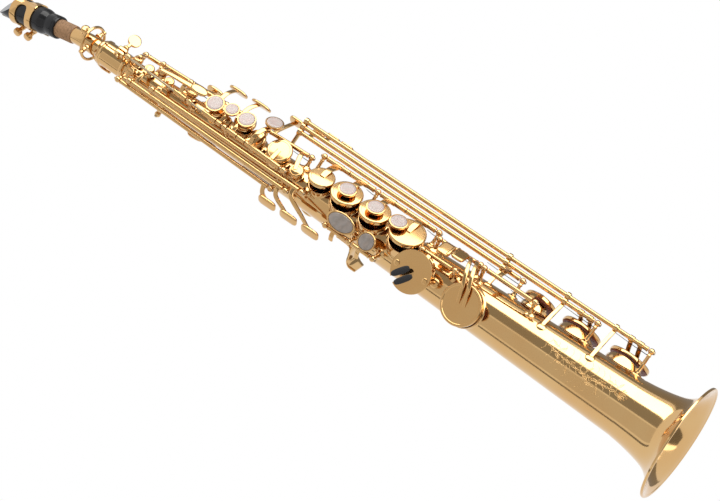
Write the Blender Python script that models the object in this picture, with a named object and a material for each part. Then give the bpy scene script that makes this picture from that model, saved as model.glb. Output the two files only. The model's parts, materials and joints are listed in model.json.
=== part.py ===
"""Soprano saxophone with a removable neck, standing on its bell.

The script builds the instrument piece by piece: the conical body with its tone holes and
posts, the bell, the neck with mouthpiece, and the whole keywork.  Lengths are written in
millimetres and turned into metres when a mesh is made.  +Z runs from the bell to the
mouthpiece, the finger keys face -Y, the player's right hand side is -X.  A "turn" is an
angle round the body in degrees: 0 at the front, growing towards the player's right.
"""
import math

import bmesh
import bpy
from mathutils import Matrix, Vector

MM = 0.001

# Body and bell
BODY_BOTTOM_Z = 44.3
BODY_BOTTOM_RADIUS = 23.25
BODY_TOP_RADIUS = 8.3
BODY_TOP_MARGIN = 12.0
BODY_WALL = 0.9
BELL_RIM_RADIUS = 46.5
BELL_RIM_WIDTH = 2.6
BELL_WALL = 0.9
CLEARANCE = 0.3

# Tone holes, cups and pads
CHIMNEY_RISE = 2.4
CHIMNEY_WALL = 1.0
CUP_OVERHANG = 1.2
CUP_HEIGHT = 3.2
PAD_RECESS = 1.8
PAD_SHOW = 1.0
PAD_MARGIN = 1.1

# Keywork stock
SHAFT_RADIUS = 1.7
ROD_RADIUS = 1.0
TUBE_RADIUS = 2.0
BALL_RADIUS = 2.5
POST_RADIUS = 1.35
POST_FOOT_RADIUS = 2.6
ARM_WIDTH = 3.6
ARM_THICKNESS = 1.7
PEARL_RADIUS = 6.2
PEARL_RIM = 1.1
PEARL_STEM = 1.9
TOUCH_THICKNESS = 2.2

# Neck and mouthpiece
RECEIVER_RADIUS = BODY_TOP_RADIUS + 1.6
RECEIVER_ABOVE_BODY = 20.5
RECEIVER_BELOW_TOP = 4.5
RECEIVER_RIM = 0.7
NECK_BEND = 14.0
NECK_BEND_ABOVE_RECEIVER = 4.5
NECK_BEND_RADIUS = 107.0
NECK_LOW_RADIUS = BODY_TOP_RADIUS - 0.7
NECK_HIGH_RADIUS = NECK_LOW_RADIUS - 1.2
NECK_WALL = 0.9
CORK_RADIUS = NECK_HIGH_RADIUS + 0.9
MOUTHPIECE_START = 17.0
MOUTHPIECE_LENGTH = 66.0
SHANK_RADIUS = CORK_RADIUS + 1.6
MOUTHPIECE_RADIUS = SHANK_RADIUS + 1.5
TABLE_DEPTH = MOUTHPIECE_RADIUS - 2.2
CORK_LENGTH = MOUTHPIECE_START + 17.0
LIGATURE_START = MOUTHPIECE_START + 23.0
LIGATURE_LENGTH = 23.0
LIGATURE_WALL = 0.9

# Facets
BODY_SIDES = 24
BORE_SIDES = 18
HOLE_SIDES = 12
SMALL_HOLE_SIDES = 8
SMALL_HOLE = 6.0
PEARL_SIDES = 10
SHAFT_SIDES = 6
POST_SIDES = 5
NECK_SIDES = 14
MOUTHPIECE_SIDES = 18

BRASS = (0.80, 0.56, 0.25)

# Tone holes from the bell up: free length above the cup below, turn and cup radius
HOLE_ROW = {
    "low_b_flat": (5.6, -85.0, 16.6),
    "low_b": (8.0, -88.0, 16.4),
    "low_c_sharp": (5.5, -85.0, 13.6),
    "low_c": (7.2, 53.0, 16.2),
    "low_e_flat": (14.8, 45.0, 13.0),
    "d": (-5.3, 0.0, 14.3),
    "e": (3.3, 0.0, 12.4),
    "f": (1.0, 0.0, 12.6),
    "f_sharp": (0.6, 0.0, 10.3),
    "g_sharp": (4.4, 12.0, 5.8),
    "g": (4.2, -2.0, 10.0),
    "c_vent": (3.8, 3.0, 7.2),
    "a": (0.7, -18.0, 8.6),
    "bis": (-0.5, 7.0, 3.9),
    "b": (1.6, -8.0, 7.0),
    "palm_d": (15.2, -20.0, 4.8),
    "side_c": (11.0, -4.0, 4.2),
    "palm_e_flat": (2.4, -30.0, 4.4),
    "side_e": (0.4, -4.0, 4.2),
    "side_b_flat": (2.9, 38.0, 3.9),
    "palm_f": (-5.9, -14.0, 4.0),
}


def hole_places():
    """Height of each hole's centre, turn and cup radius, each set off from the one below."""
    places = {}
    edge = BODY_BOTTOM_Z
    for name, (gap, turn, radius) in HOLE_ROW.items():
        z = edge + gap + radius
        places[name] = (z, turn, radius)
        edge = z + radius
    return places


HOLES = hole_places()


def at(name, offset=0.0):
    """A height on the body, measured from the centre of a tone hole."""
    return HOLES[name][0] + offset


BODY_TOP_Z = at("palm_f", BODY_TOP_MARGIN)
RECEIVER_TOP_Z = BODY_TOP_Z + RECEIVER_ABOVE_BODY
RECEIVER_BOTTOM_Z = BODY_TOP_Z - RECEIVER_BELOW_TOP
NECK_BEND_START_Z = RECEIVER_TOP_Z + NECK_BEND_ABOVE_RECEIVER


def tube_radius(z):
    """Outer radius of the conical body at height z."""
    taper = (BODY_BOTTOM_RADIUS - BODY_TOP_RADIUS) / (BODY_TOP_Z - BODY_BOTTOM_Z)
    return BODY_TOP_RADIUS + taper * (BODY_TOP_Z - z)


def seat_height(z):
    """Distance of a tone hole's rim from the body axis."""
    return tube_radius(z) + CHIMNEY_RISE


def outward(turn):
    """Unit vector that points away from the body axis."""
    angle = math.radians(turn)
    return Vector((-math.sin(angle), -math.cos(angle), 0.0))


def sideways(turn):
    """Unit vector round the body, towards growing turn."""
    angle = math.radians(turn)
    return Vector((-math.cos(angle), math.sin(angle), 0.0))


def place(radius, turn, z):
    """A point given by its distance from the body axis, turn and height."""
    return outward(turn) * radius + Vector((0.0, 0.0, z))


def above(rise, turn, z):
    """A point that stands off the body's skin by a rise."""
    return place(tube_radius(z) + rise, turn, z)


def turn_of(point):
    """Turn of a point round the body."""
    return math.degrees(math.atan2(-point.x, -point.y))


class HingeLine:
    """A straight hinge between two heights, standing off the body by a rise."""

    def __init__(self, turn, low_z, high_z, low_rise, high_rise=None, high_turn=None):
        high_rise = low_rise if high_rise is None else high_rise
        high_turn = turn if high_turn is None else high_turn
        self.low = place(tube_radius(low_z) + low_rise, turn, low_z)
        self.high = place(tube_radius(high_z) + high_rise, high_turn, high_z)
        self.axis = (self.high - self.low).normalized()

    def point(self, z):
        share = (z - self.low.z) / (self.high.z - self.low.z)
        return self.low.lerp(self.high, share)


# Shells: a shell is a pair of a vertex list and a face list, closed on itself

def loft(rings, loop=False):
    """Skin a row of rings with equal counts; the ends are capped unless it is a loop."""
    count = len(rings[0])
    verts = [point for ring in rings for point in ring]
    faces = []
    last = len(rings) if loop else len(rings) - 1
    for i in range(last):
        a = i * count
        b = (i + 1) % len(rings) * count
        for j in range(count):
            k = (j + 1) % count
            faces.append((a + j, a + k, b + k, b + j))
    if not loop:
        faces.append(tuple(range(count)))
        faces.append(tuple(range(len(verts) - count, len(verts))))
    return verts, faces


def basis(axis):
    """Two unit vectors square to an axis and to each other."""
    axis = axis.normalized()
    helper = Vector((0.0, 0.0, 1.0)) if abs(axis.z) < 0.9 else Vector((0.0, -1.0, 0.0))
    first = helper.cross(axis).normalized()
    return first, axis.cross(first)


def turned(profile, origin, axis, sides, loop=False):
    """Revolve a profile of (radius, distance along the axis) about an axis."""
    axis = axis.normalized()
    first, second = basis(axis)
    rings = []
    for radius, along in profile:
        ring = []
        for i in range(sides):
            angle = 2.0 * math.pi * (i + 0.5) / sides
            spoke = first * math.cos(angle) + second * math.sin(angle)
            ring.append(origin + axis * along + spoke * radius)
        rings.append(ring)
    return loft(rings, loop)


def cylinder(start, end, radius, sides=SHAFT_SIDES):
    """A plain round bar between two points."""
    length = (end - start).length
    return turned([(radius, 0.0), (radius, length)], start, end - start, sides)


def strip(path, width, thickness, across):
    """Sweep a flat bar along a path; across is the direction of its width."""
    rings = []
    for i, point in enumerate(path):
        before = path[max(i - 1, 0)]
        after = path[min(i + 1, len(path) - 1)]
        along = (after - before).normalized()
        side = (across - along * across.dot(along)).normalized()
        face = along.cross(side)
        half_w = (width[i] if isinstance(width, (list, tuple)) else width) / 2.0
        half_t = (thickness[i] if isinstance(thickness, (list, tuple)) else thickness) / 2.0
        corners = ((half_w, half_t), (-half_w, half_t), (-half_w, -half_t), (half_w, -half_t))
        rings.append([point + side * a + face * b for a, b in corners])
    return loft(rings)


def plate(centre, face, along, length, width, thickness, sides=10, power=0.6):
    """A flat touch plate with a rounded outline, slightly chamfered on its face."""
    face = face.normalized()
    along = (along - face * along.dot(face)).normalized()
    across = face.cross(along)

    def outline(scale, height):
        ring = []
        for i in range(sides):
            angle = 2.0 * math.pi * i / sides
            c, s = math.cos(angle), math.sin(angle)
            u = math.copysign(abs(c) ** power, c) * length / 2.0 * scale
            v = math.copysign(abs(s) ** power, s) * width / 2.0 * scale
            ring.append(centre + along * u + across * v + face * height)
        return ring

    half = thickness / 2.0
    return loft([outline(1.0, -half), outline(0.9, half)])


def wire(points, radius, closed=False, sides=6):
    """A round wire along points."""
    rings = []
    count = len(points)
    side = None
    for i, point in enumerate(points):
        if closed:
            along = points[(i + 1) % count] - points[i - 1]
        else:
            along = points[min(i + 1, count - 1)] - points[max(i - 1, 0)]
        along.normalize()
        if side is None:
            side = basis(along)[0]
        side = (side - along * side.dot(along)).normalized()
        other = along.cross(side)
        ring = []
        for j in range(sides):
            angle = 2.0 * math.pi * j / sides
            ring.append(point + (side * math.cos(angle) + other * math.sin(angle)) * radius)
        rings.append(ring)
    return loft(rings, loop=closed)


def joined(shells):
    """Put shells that do not meet into one list."""
    verts, faces = [], []
    for shell_verts, shell_faces in shells:
        start = len(verts)
        verts.extend(shell_verts)
        faces.extend(tuple(i + start for i in face) for face in shell_faces)
    return verts, faces


# Objects

def material(name, colour, roughness, metallic):
    made = bpy.data.materials.new(name)
    made.use_nodes = True
    shader = made.node_tree.nodes["Principled BSDF"]
    shader.inputs["Base Color"].default_value = (*colour, 1.0)
    shader.inputs["Roughness"].default_value = roughness
    shader.inputs["Metallic"].default_value = metallic
    made.diffuse_color = (*colour, 1.0)
    return made


FINISHES = {
    "lacquer": (BRASS, 0.12, 1.0),
    "key_lacquer": ((0.84, 0.60, 0.28), 0.15, 1.0),
    "steel": ((0.62, 0.60, 0.57), 0.25, 1.0),
    "ebonite": ((0.012, 0.012, 0.014), 0.12, 0.0),
    "cane": ((0.72, 0.56, 0.30), 0.6, 0.0),
    "cork": ((0.55, 0.34, 0.18), 0.8, 0.0),
    "pearl": ((0.88, 0.80, 0.78), 0.25, 0.0),
    "leather": ((0.14, 0.05, 0.03), 0.55, 0.0),
}


class Pivot:
    """An empty on a key's hinge; frame is its place with the key closed on its seat."""

    def __init__(self, name, point, axis, rest_angle):
        first, second = basis(axis)
        self.point = point
        self.axis = axis.normalized()
        turn = Matrix((first, second, self.axis)).transposed().to_4x4()
        self.frame = Matrix.Translation(point * MM) @ turn
        self.empty = bpy.data.objects.new(f"hinge_{name}", None)
        self.empty.empty_display_size = 0.01
        self.empty.matrix_world = self.frame @ Matrix.Rotation(rest_angle, 4, "Z")
        bpy.context.scene.collection.objects.link(self.empty)


def add_mesh(name, shell, finish, pivot=None, helper=False):
    """Make an object from a shell given in world millimetres, with moving keys closed."""
    verts, faces = shell
    space = pivot.frame.inverted() if pivot else Matrix.Identity(4)
    mesh = bpy.data.meshes.new(name)
    mesh.from_pydata([space @ (point * MM) for point in verts], [], faces)
    work = bmesh.new()
    work.from_mesh(mesh)
    bmesh.ops.recalc_face_normals(work, faces=work.faces)
    work.to_mesh(mesh)
    work.free()
    thing = bpy.data.objects.new(name, mesh)
    bpy.context.scene.collection.objects.link(thing)
    if pivot:
        thing.parent = pivot.empty
    if helper:
        thing.hide_render = True
        thing.display_type = "WIRE"
    else:
        mesh.shade_smooth()
        mesh.set_sharp_from_angle(angle=math.radians(38.0))
        mesh.materials.append(material(f"{name}_{finish}", *FINISHES[finish]))
    return thing


def combine(thing, shell, operation, pivot=None):
    """Add a Boolean of a hidden helper to an object."""
    number = len(thing.modifiers) + 1
    helper = add_mesh(f"{thing.name}.helper{number}", shell, None, pivot, helper=True)
    step = thing.modifiers.new(f"step{number}", "BOOLEAN")
    step.operation = operation
    step.solver = "EXACT"
    step.object = helper


# Hinge lines, by the places of their end posts

LONG_ROD_TURN = -57.0
LONG_ROD_RISE = 10.5
LONG_ROD_STEP = 4.6
LONG_ROD_TOP_Z = at("g", 2.0)
LONG_ROD_BOTTOMS = {
    "c_sharp_lever": at("low_c_sharp", 17.0),
    "low_b": at("low_b", -10.5),
    "low_b_flat": at("low_b_flat", -13.0),
}


def long_rod_radius(order):
    """Distance of a long rod from the body axis."""
    return tube_radius(at("low_b_flat")) + LONG_ROD_RISE + LONG_ROD_STEP * order


def long_rod(order, bottom_z):
    """A rod parallel to the body axis, outside the bell keys."""
    radius = long_rod_radius(order)
    return HingeLine(LONG_ROD_TURN, bottom_z, LONG_ROD_TOP_Z,
                     radius - tube_radius(bottom_z), radius - tube_radius(LONG_ROD_TOP_Z))


UPPER_POSTS = (at("g", -13.5), at("a", 8.3), at("b", 19.5), at("palm_f", 4.0))
LOWER_POSTS = (at("d", -14.0), (at("e") + at("f")) / 2.0 - 0.3, at("f_sharp", 14.0))
UPPER = HingeLine(28.0, UPPER_POSTS[0], UPPER_POSTS[-1], 10.5, 11.5, 12.0)
LOWER = HingeLine(-52.0, LOWER_POSTS[0], LOWER_POSTS[-1], 11.0, 14.0)
LINES = {
    "side_c": HingeLine(42.0, at("f_sharp", 5.5), at("side_c", 5.0), 9.5),
    "side_e": HingeLine(57.0, at("f_sharp", 17.5), at("side_e", 6.0), 9.5),
    "side_b_flat": HingeLine(72.0, at("f_sharp", 29.5), at("side_b_flat", 5.0), 9.5),
    "palm_d": HingeLine(-42.0, at("palm_d", -27.0), at("palm_d", 8.0), 8.5),
    "palm_e_flat": HingeLine(-58.0, at("palm_d", -45.0), at("palm_e_flat", 7.0), 8.5),
    "palm_f": HingeLine(-74.0, at("palm_d", -9.0), at("palm_f", 4.0), 8.5),
    "g_sharp": HingeLine(-40.0, at("g_sharp"), LONG_ROD_TOP_Z + 20.0, 9.0),
    "high_g": HingeLine(67.0, at("e", -19.0), at("e", 3.5), 9.5),
    "high_f_sharp": HingeLine(67.0, at("e", 3.5), at("e", 26.0), 9.5),
    "low_e_flat": HingeLine(8.0, at("low_e_flat", -25.0), at("low_e_flat", 4.5), 9.5),
    "low_c": HingeLine(-32.0, at("low_c", 9.5), at("low_e_flat", 2.0), 9.5),
    "low_c_sharp": HingeLine(-21.0, at("low_c_sharp", -4.0), at("low_c", 4.0), 10.7, 12.1),
    "c_sharp_lever": long_rod(0, LONG_ROD_BOTTOMS["c_sharp_lever"]),
    "low_b": long_rod(1, LONG_ROD_BOTTOMS["low_b"]),
    "low_b_flat": long_rod(2, LONG_ROD_BOTTOMS["low_b_flat"]),
}
STAYS = {
    at("low_c", -2.0): (-33.0, 0),
    at("low_c_sharp", -17.0): (-8.0, 1),
    at("low_b_flat", 17.5): (-8.0, 2),
}
STAY_THICKNESS = 3.0
OCTAVE_PIVOT_Z = BODY_TOP_Z - 42.0
OCTAVE_RISE = 7.5
OCTAVE_HALF_SPAN = 8.5


def octave_pivot():
    return place(tube_radius(OCTAVE_PIVOT_Z) + OCTAVE_RISE, 180.0, OCTAVE_PIVOT_Z)


# Body, posts and bell

def post_to(ball):
    """A post with a round foot on the body and a ball at a hinge point."""
    turn = turn_of(ball)
    reach = math.hypot(ball.x, ball.y)
    skin = tube_radius(ball.z)
    foot = math.sqrt(skin ** 2 - POST_FOOT_RADIUS ** 2) - 0.2
    profile = [
        (POST_FOOT_RADIUS, foot), (POST_RADIUS, reach - 0.85 * BALL_RADIUS),
        (BALL_RADIUS, reach - 0.2 * BALL_RADIUS), (0.7 * BALL_RADIUS, reach + 0.85 * BALL_RADIUS),
    ]
    return turned(profile, Vector((0.0, 0.0, ball.z)), outward(turn), POST_SIDES)


def post_balls():
    """Centres of all ball posts on the body."""
    balls = [UPPER.point(z) for z in UPPER_POSTS] + [LOWER.point(z) for z in LOWER_POSTS]
    for name, line in LINES.items():
        balls.append(line.low)
        if name not in LONG_ROD_BOTTOMS and name != "high_g":
            balls.append(line.high)
    side = Vector((OCTAVE_HALF_SPAN, 0.0, 0.0))
    return balls + [octave_pivot() + side, octave_pivot() - side]


def stay(z, foot_turn, first):
    """A flat bracket from the body to the long rods, with an eye for each rod it holds."""
    names = list(LONG_ROD_BOTTOMS)[first:]
    inner = LINES[names[0]].low
    outer = LINES[names[-1]].low
    in_radius = math.hypot(inner.x, inner.y) - BALL_RADIUS
    out_radius = math.hypot(outer.x, outer.y) + BALL_RADIUS
    path = [place(tube_radius(z) - 0.5, foot_turn, z), place(in_radius, LONG_ROD_TURN, z),
            place(out_radius, LONG_ROD_TURN, z)]
    return strip(path, STAY_THICKNESS, [2.6, 5.2, 5.2], Vector((0.0, 0.0, 1.0)))


def round_sides(radius):
    """Facets of a round cup or chimney."""
    return HOLE_SIDES if radius > SMALL_HOLE else SMALL_HOLE_SIDES


def chimney(z, turn, cup_radius):
    """The wall of one tone hole, reaching into the body."""
    radius = cup_radius - CUP_OVERHANG
    start = math.sqrt(tube_radius(z) ** 2 - radius ** 2) - 1.5
    return turned([(radius, start), (radius, seat_height(z))], Vector((0.0, 0.0, z)),
                  outward(turn), round_sides(cup_radius))


def tone_hole(z, turn, cup_radius):
    """The cutter of one tone hole."""
    radius = cup_radius - CUP_OVERHANG - CHIMNEY_WALL
    start = math.sqrt(tube_radius(z) ** 2 - radius ** 2) - 3.0
    return turned([(radius, start), (radius, seat_height(z) + 1.0)], Vector((0.0, 0.0, z)),
                  outward(turn), round_sides(cup_radius))


def make_body():
    up = Vector((0.0, 0.0, 1.0))
    zero = Vector((0.0, 0.0, 0.0))
    skin = [(BODY_BOTTOM_RADIUS, BODY_BOTTOM_Z), (BODY_TOP_RADIUS, BODY_TOP_Z)]
    body = add_mesh("body_tube", turned(skin, zero, up, BODY_SIDES), "lacquer")
    for hole in HOLES.values():
        combine(body, chimney(*hole), "UNION")
    for z, (foot_turn, first) in STAYS.items():
        combine(body, stay(z, foot_turn, first), "UNION")
    combine(body, stay(LONG_ROD_TOP_Z, LONG_ROD_TURN, 0), "UNION")
    combine(body, joined([post_to(ball) for ball in post_balls()]), "UNION")
    extra = 5.0
    taper = (BODY_BOTTOM_RADIUS - BODY_TOP_RADIUS) / (BODY_TOP_Z - BODY_BOTTOM_Z)
    bore = [(BODY_BOTTOM_RADIUS - BODY_WALL + taper * extra, BODY_BOTTOM_Z - extra),
            (BODY_TOP_RADIUS - BODY_WALL - taper * extra, BODY_TOP_Z + extra)]
    combine(body, turned(bore, zero, up, BORE_SIDES), "DIFFERENCE")
    for hole in HOLES.values():
        combine(body, tone_hole(*hole), "DIFFERENCE")
    for line in (UPPER, LOWER):
        ends = line.low - line.axis * 6.0, line.high + line.axis * 6.0
        combine(body, cylinder(*ends, ROD_RADIUS + CLEARANCE), "DIFFERENCE")
    for name in LONG_ROD_BOTTOMS:
        line = LINES[name]
        low = line.low + line.axis * (BALL_RADIUS + CLEARANCE)
        high = line.high - line.axis * (STAY_THICKNESS / 2.0 + CLEARANCE)
        combine(body, cylinder(low, high, SHAFT_RADIUS + CLEARANCE), "DIFFERENCE")
    return body


def make_bell():
    joint = BODY_BOTTOM_Z - CLEARANCE
    throat = BODY_BOTTOM_RADIUS + 0.2
    flare = BELL_RIM_RADIUS - throat
    heights = (1.0, 0.55, 0.32, 0.18, 0.085, 0.045)
    shares = (0.0, 0.13, 0.25, 0.42, 0.64, 0.79)
    outer = [(throat + flare * share, joint * height) for share, height in zip(shares, heights)]
    rim = [(BELL_RIM_RADIUS - 0.9, 1.9), (BELL_RIM_RADIUS, 1.2), (BELL_RIM_RADIUS, 0.5),
           (BELL_RIM_RADIUS - 0.4, 0.0), (BELL_RIM_RADIUS - 0.4 - BELL_RIM_WIDTH, 0.0)]
    inner = []
    for (radius, height), share in zip(reversed(outer), reversed(shares)):
        lean = share ** 0.8
        inner.append((radius - BELL_WALL * (1.0 - lean), max(height - BELL_WALL * lean, 0.9)))
    inner[-1] = (throat - BELL_WALL, joint)
    profile = outer + rim + inner
    add_mesh("bell", turned(profile, Vector((0.0, 0.0, 0.0)), Vector((0.0, 0.0, 1.0)),
                            BODY_SIDES, loop=True), "lacquer")


# Neck and mouthpiece pieces

NECK_LEAN = math.radians(NECK_BEND)
NECK_END = Vector((0.0, NECK_BEND_RADIUS * (1.0 - math.cos(NECK_LEAN)),
                   NECK_BEND_START_Z + NECK_BEND_RADIUS * math.sin(NECK_LEAN)))
NECK_UP = Vector((0.0, math.sin(NECK_LEAN), math.cos(NECK_LEAN)))
NECK_BACK = Vector((0.0, math.cos(NECK_LEAN), -math.sin(NECK_LEAN)))
ACROSS = Vector((1.0, 0.0, 0.0))
NECK_LENGTH = MOUTHPIECE_START + 17.5
TENON_BOTTOM_Z = BODY_TOP_Z + 0.8
CLAMP_Z = BODY_TOP_Z + 3.0
CLAMP_Y = -RECEIVER_RADIUS - 3.1
CLAMP_SCREW_RADIUS = 1.3
LUG_HALF_WIDTH = 3.5
LUG_HALF_HEIGHT = 4.5
SLIT = 1.2


def on_neck(s, x=0.0, back=0.0):
    """A point on the straight end of the neck: s along it, x across, back towards the reed."""
    return NECK_END + NECK_UP * s + ACROSS * x + NECK_BACK * back


def box(centre, half_x, half_y, half_z, axes=None):
    """A block with given half sizes along three axes."""
    right, deep, up = axes or (ACROSS, Vector((0.0, 1.0, 0.0)), Vector((0.0, 0.0, 1.0)))
    rings = []
    for level in (-half_z, half_z):
        ring = []
        for a, b in ((-1, -1), (1, -1), (1, 1), (-1, 1)):
            ring.append(centre + right * (half_x * a) + deep * (half_y * b) + up * level)
        rings.append(ring)
    return loft(rings)


NECK_AXES = (ACROSS, NECK_BACK, NECK_UP)


def make_receiver():
    up = Vector((0.0, 0.0, 1.0))
    zero = Vector((0.0, 0.0, 0.0))
    socket = NECK_LOW_RADIUS + CLEARANCE
    shoulder = BODY_TOP_Z + CLEARANCE
    profile = [
        (RECEIVER_RADIUS, RECEIVER_BOTTOM_Z), (RECEIVER_RADIUS, RECEIVER_TOP_Z - 2.6),
        (RECEIVER_RADIUS + RECEIVER_RIM, RECEIVER_TOP_Z - 2.2),
        (RECEIVER_RADIUS + RECEIVER_RIM, RECEIVER_TOP_Z), (socket, RECEIVER_TOP_Z),
        (socket, shoulder), (BODY_TOP_RADIUS + CLEARANCE, shoulder),
        (tube_radius(RECEIVER_BOTTOM_Z) + CLEARANCE, RECEIVER_BOTTOM_Z),
    ]
    ring = add_mesh("neck_receiver", turned(profile, zero, up, BORE_SIDES, loop=True), "lacquer")
    back = -RECEIVER_RADIUS + 0.5
    front = CLAMP_Y - 3.2
    lug = box(Vector((0.0, (back + front) / 2.0, CLAMP_Z)), LUG_HALF_WIDTH,
              (back - front) / 2.0, LUG_HALF_HEIGHT)
    combine(ring, lug, "UNION")
    height = RECEIVER_TOP_Z - RECEIVER_BOTTOM_Z
    slit = box(Vector((0.0, -RECEIVER_RADIUS - 3.0, RECEIVER_BOTTOM_Z + height / 2.0)), SLIT / 2.0,
               6.5, height / 2.0 + 1.0)
    combine(ring, slit, "DIFFERENCE")
    eye = Vector((0.0, CLAMP_Y, CLAMP_Z))
    reach = ACROSS * (LUG_HALF_WIDTH + 1.0)
    combine(ring, cylinder(eye - reach, eye + reach, CLAMP_SCREW_RADIUS + CLEARANCE), "DIFFERENCE")
    start = LUG_HALF_WIDTH + 7.5
    screw = turned([(CLAMP_SCREW_RADIUS, -LUG_HALF_WIDTH - 1.6), (CLAMP_SCREW_RADIUS, start - 6.8),
                    (2.6, start - 6.4), (2.6, start - 4.6), (1.5, start - 3.8), (1.5, start)],
                   eye, ACROSS, 10)
    thing = add_mesh("neck_clamp_screw", screw, "key_lacquer")
    paddle = plate(eye + ACROSS * (start + 4.5), Vector((0.0, -0.93, -0.37)), ACROSS, 11.0, 10.6, 1.8,
                   sides=14, power=1.0)
    combine(thing, paddle, "UNION")


def neck_path():
    """Rings of the neck: centre, direction and outer radius from the tenon to the cork end."""
    up = Vector((0.0, 0.0, 1.0))
    stops = [(Vector((0.0, 0.0, TENON_BOTTOM_Z)), up, NECK_LOW_RADIUS)]
    collar = RECEIVER_TOP_Z + CLEARANCE
    for z, grow in ((collar, 0.0), (collar, 1.6), (collar + 3.6, 0.0)):
        stops.append((Vector((0.0, 0.0, z)), up, NECK_LOW_RADIUS + grow))
    steps = 3
    for i in range(1, steps + 1):
        share = i / steps
        lean = NECK_LEAN * share
        centre = Vector((0.0, NECK_BEND_RADIUS * (1.0 - math.cos(lean)),
                         NECK_BEND_START_Z + NECK_BEND_RADIUS * math.sin(lean)))
        radius = NECK_LOW_RADIUS + (NECK_HIGH_RADIUS - NECK_LOW_RADIUS) * share
        stops.append((centre, Vector((0.0, math.sin(lean), math.cos(lean))), radius))
    stops.append((on_neck(NECK_LENGTH), NECK_UP, NECK_HIGH_RADIUS))
    return stops


def neck_front(z):
    """Place of the neck's front skin in its bend at height z, along Y."""
    lean = math.asin((z - NECK_BEND_START_Z) / NECK_BEND_RADIUS)
    radius = NECK_LOW_RADIUS + (NECK_HIGH_RADIUS - NECK_LOW_RADIUS) * lean / NECK_LEAN
    return NECK_BEND_RADIUS * (1.0 - math.cos(lean)) - radius


def neck_ring(centre, direction, radius, sides=NECK_SIDES):
    deep = ACROSS.cross(direction) * -1.0
    ring = []
    for i in range(sides):
        angle = 2.0 * math.pi * (i + 0.5) / sides
        ring.append(centre + (ACROSS * math.cos(angle) + deep * math.sin(angle)) * radius)
    return ring


OCTAVE_NECK_PIVOT = Vector((0.0, -2.0, NECK_BEND_START_Z + 8.0))
OCTAVE_NECK_HALF_SPAN = NECK_LOW_RADIUS + 3.8
OCTAVE_PIP_Z = NECK_BEND_START_Z + 15.0
OCTAVE_PIP_REACH = NECK_LOW_RADIUS + 2.8


def make_neck():
    stops = neck_path()
    outer = [neck_ring(*stop) for stop in stops]
    inner = []
    for centre, direction, radius in (stops[0], stops[-5], stops[-3], stops[-2], stops[-1]):
        inner.append(neck_ring(centre, direction, min(radius, NECK_LOW_RADIUS) - NECK_WALL))
    neck = add_mesh("neck_tube", loft(outer + inner[::-1], loop=True), "lacquer")
    for side in (-1.0, 1.0):
        ear = cylinder(OCTAVE_NECK_PIVOT + ACROSS * (side * (NECK_LOW_RADIUS - NECK_WALL * 0.6)),
                       OCTAVE_NECK_PIVOT + ACROSS * (side * OCTAVE_NECK_HALF_SPAN), 1.9)
        combine(neck, ear, "UNION")
    root = Vector((0.0, neck_front(OCTAVE_PIP_Z) + NECK_WALL * 0.6, OCTAVE_PIP_Z))
    combine(neck, cylinder(root, Vector((0.0, -OCTAVE_PIP_REACH, OCTAVE_PIP_Z)), 2.2, 10), "UNION")
    hole_end = Vector((0.0, -OCTAVE_PIP_REACH - 1.0, OCTAVE_PIP_Z))
    combine(neck, cylinder(root + Vector((0.0, 2.0, 0.0)), hole_end, 1.0, 8), "DIFFERENCE")
    hull = CORK_RADIUS
    cork = [(hull - 0.4, 0.0), (hull, 0.8), (hull, CORK_LENGTH - 0.8), (hull - 0.3, CORK_LENGTH),
            (NECK_HIGH_RADIUS + CLEARANCE, CORK_LENGTH), (NECK_HIGH_RADIUS + CLEARANCE, 0.0)]
    add_mesh("neck_cork", turned(cork, NECK_END, NECK_UP, NECK_SIDES, loop=True), "cork")


REED_START = MOUTHPIECE_START + 10.0
REED_VAMP = MOUTHPIECE_START + 40.0
BEAK_START = MOUTHPIECE_START + 41.0
TIP = MOUTHPIECE_START + MOUTHPIECE_LENGTH


def make_mouthpiece():
    profile = [
        (SHANK_RADIUS, MOUTHPIECE_START), (SHANK_RADIUS + 0.25, MOUTHPIECE_START + 1.0),
        (SHANK_RADIUS + 0.25, MOUTHPIECE_START + 9.0), (SHANK_RADIUS, MOUTHPIECE_START + 9.6),
        (MOUTHPIECE_RADIUS, MOUTHPIECE_START + 17.0), (MOUTHPIECE_RADIUS, BEAK_START),
        (MOUTHPIECE_RADIUS - 0.6, TIP - 8.0), (MOUTHPIECE_RADIUS - 2.4, TIP),
    ]
    body = add_mesh("mouthpiece", turned(profile, NECK_END, NECK_UP, MOUTHPIECE_SIDES), "ebonite")
    depth = 6.0
    table = box(on_neck((REED_START + TIP) / 2.0 + 4.0, back=TABLE_DEPTH + depth), 16.0, depth,
                (TIP - REED_START) / 2.0 + 4.5, NECK_AXES)
    combine(body, table, "DIFFERENCE")
    start = on_neck(BEAK_START, back=-MOUTHPIECE_RADIUS)
    end = on_neck(TIP, back=TABLE_DEPTH - 1.5)
    slope = (end - start).normalized()
    face = ACROSS.cross(slope)
    if face.dot(NECK_BACK) > 0.0:
        face = face * -1.0
    half = (end - start).length / 2.0 + 6.0
    beak = box((start + end) / 2.0 + face * 12.0, 16.0, 12.0, half, (ACROSS, face, slope))
    combine(body, beak, "DIFFERENCE")
    bore_end = MOUTHPIECE_START + 18.0
    bore = [(CORK_RADIUS + CLEARANCE, MOUTHPIECE_START - 1.0), (CORK_RADIUS + CLEARANCE, bore_end),
            (4.5, bore_end), (4.5, BEAK_START)]
    combine(body, turned(bore, NECK_END, NECK_UP, NECK_SIDES), "DIFFERENCE")
    window = box(on_neck(BEAK_START + 8.0, back=TABLE_DEPTH - 2.0), 4.4, 4.0, 10.0, NECK_AXES)
    combine(body, window, "DIFFERENCE")


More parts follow.
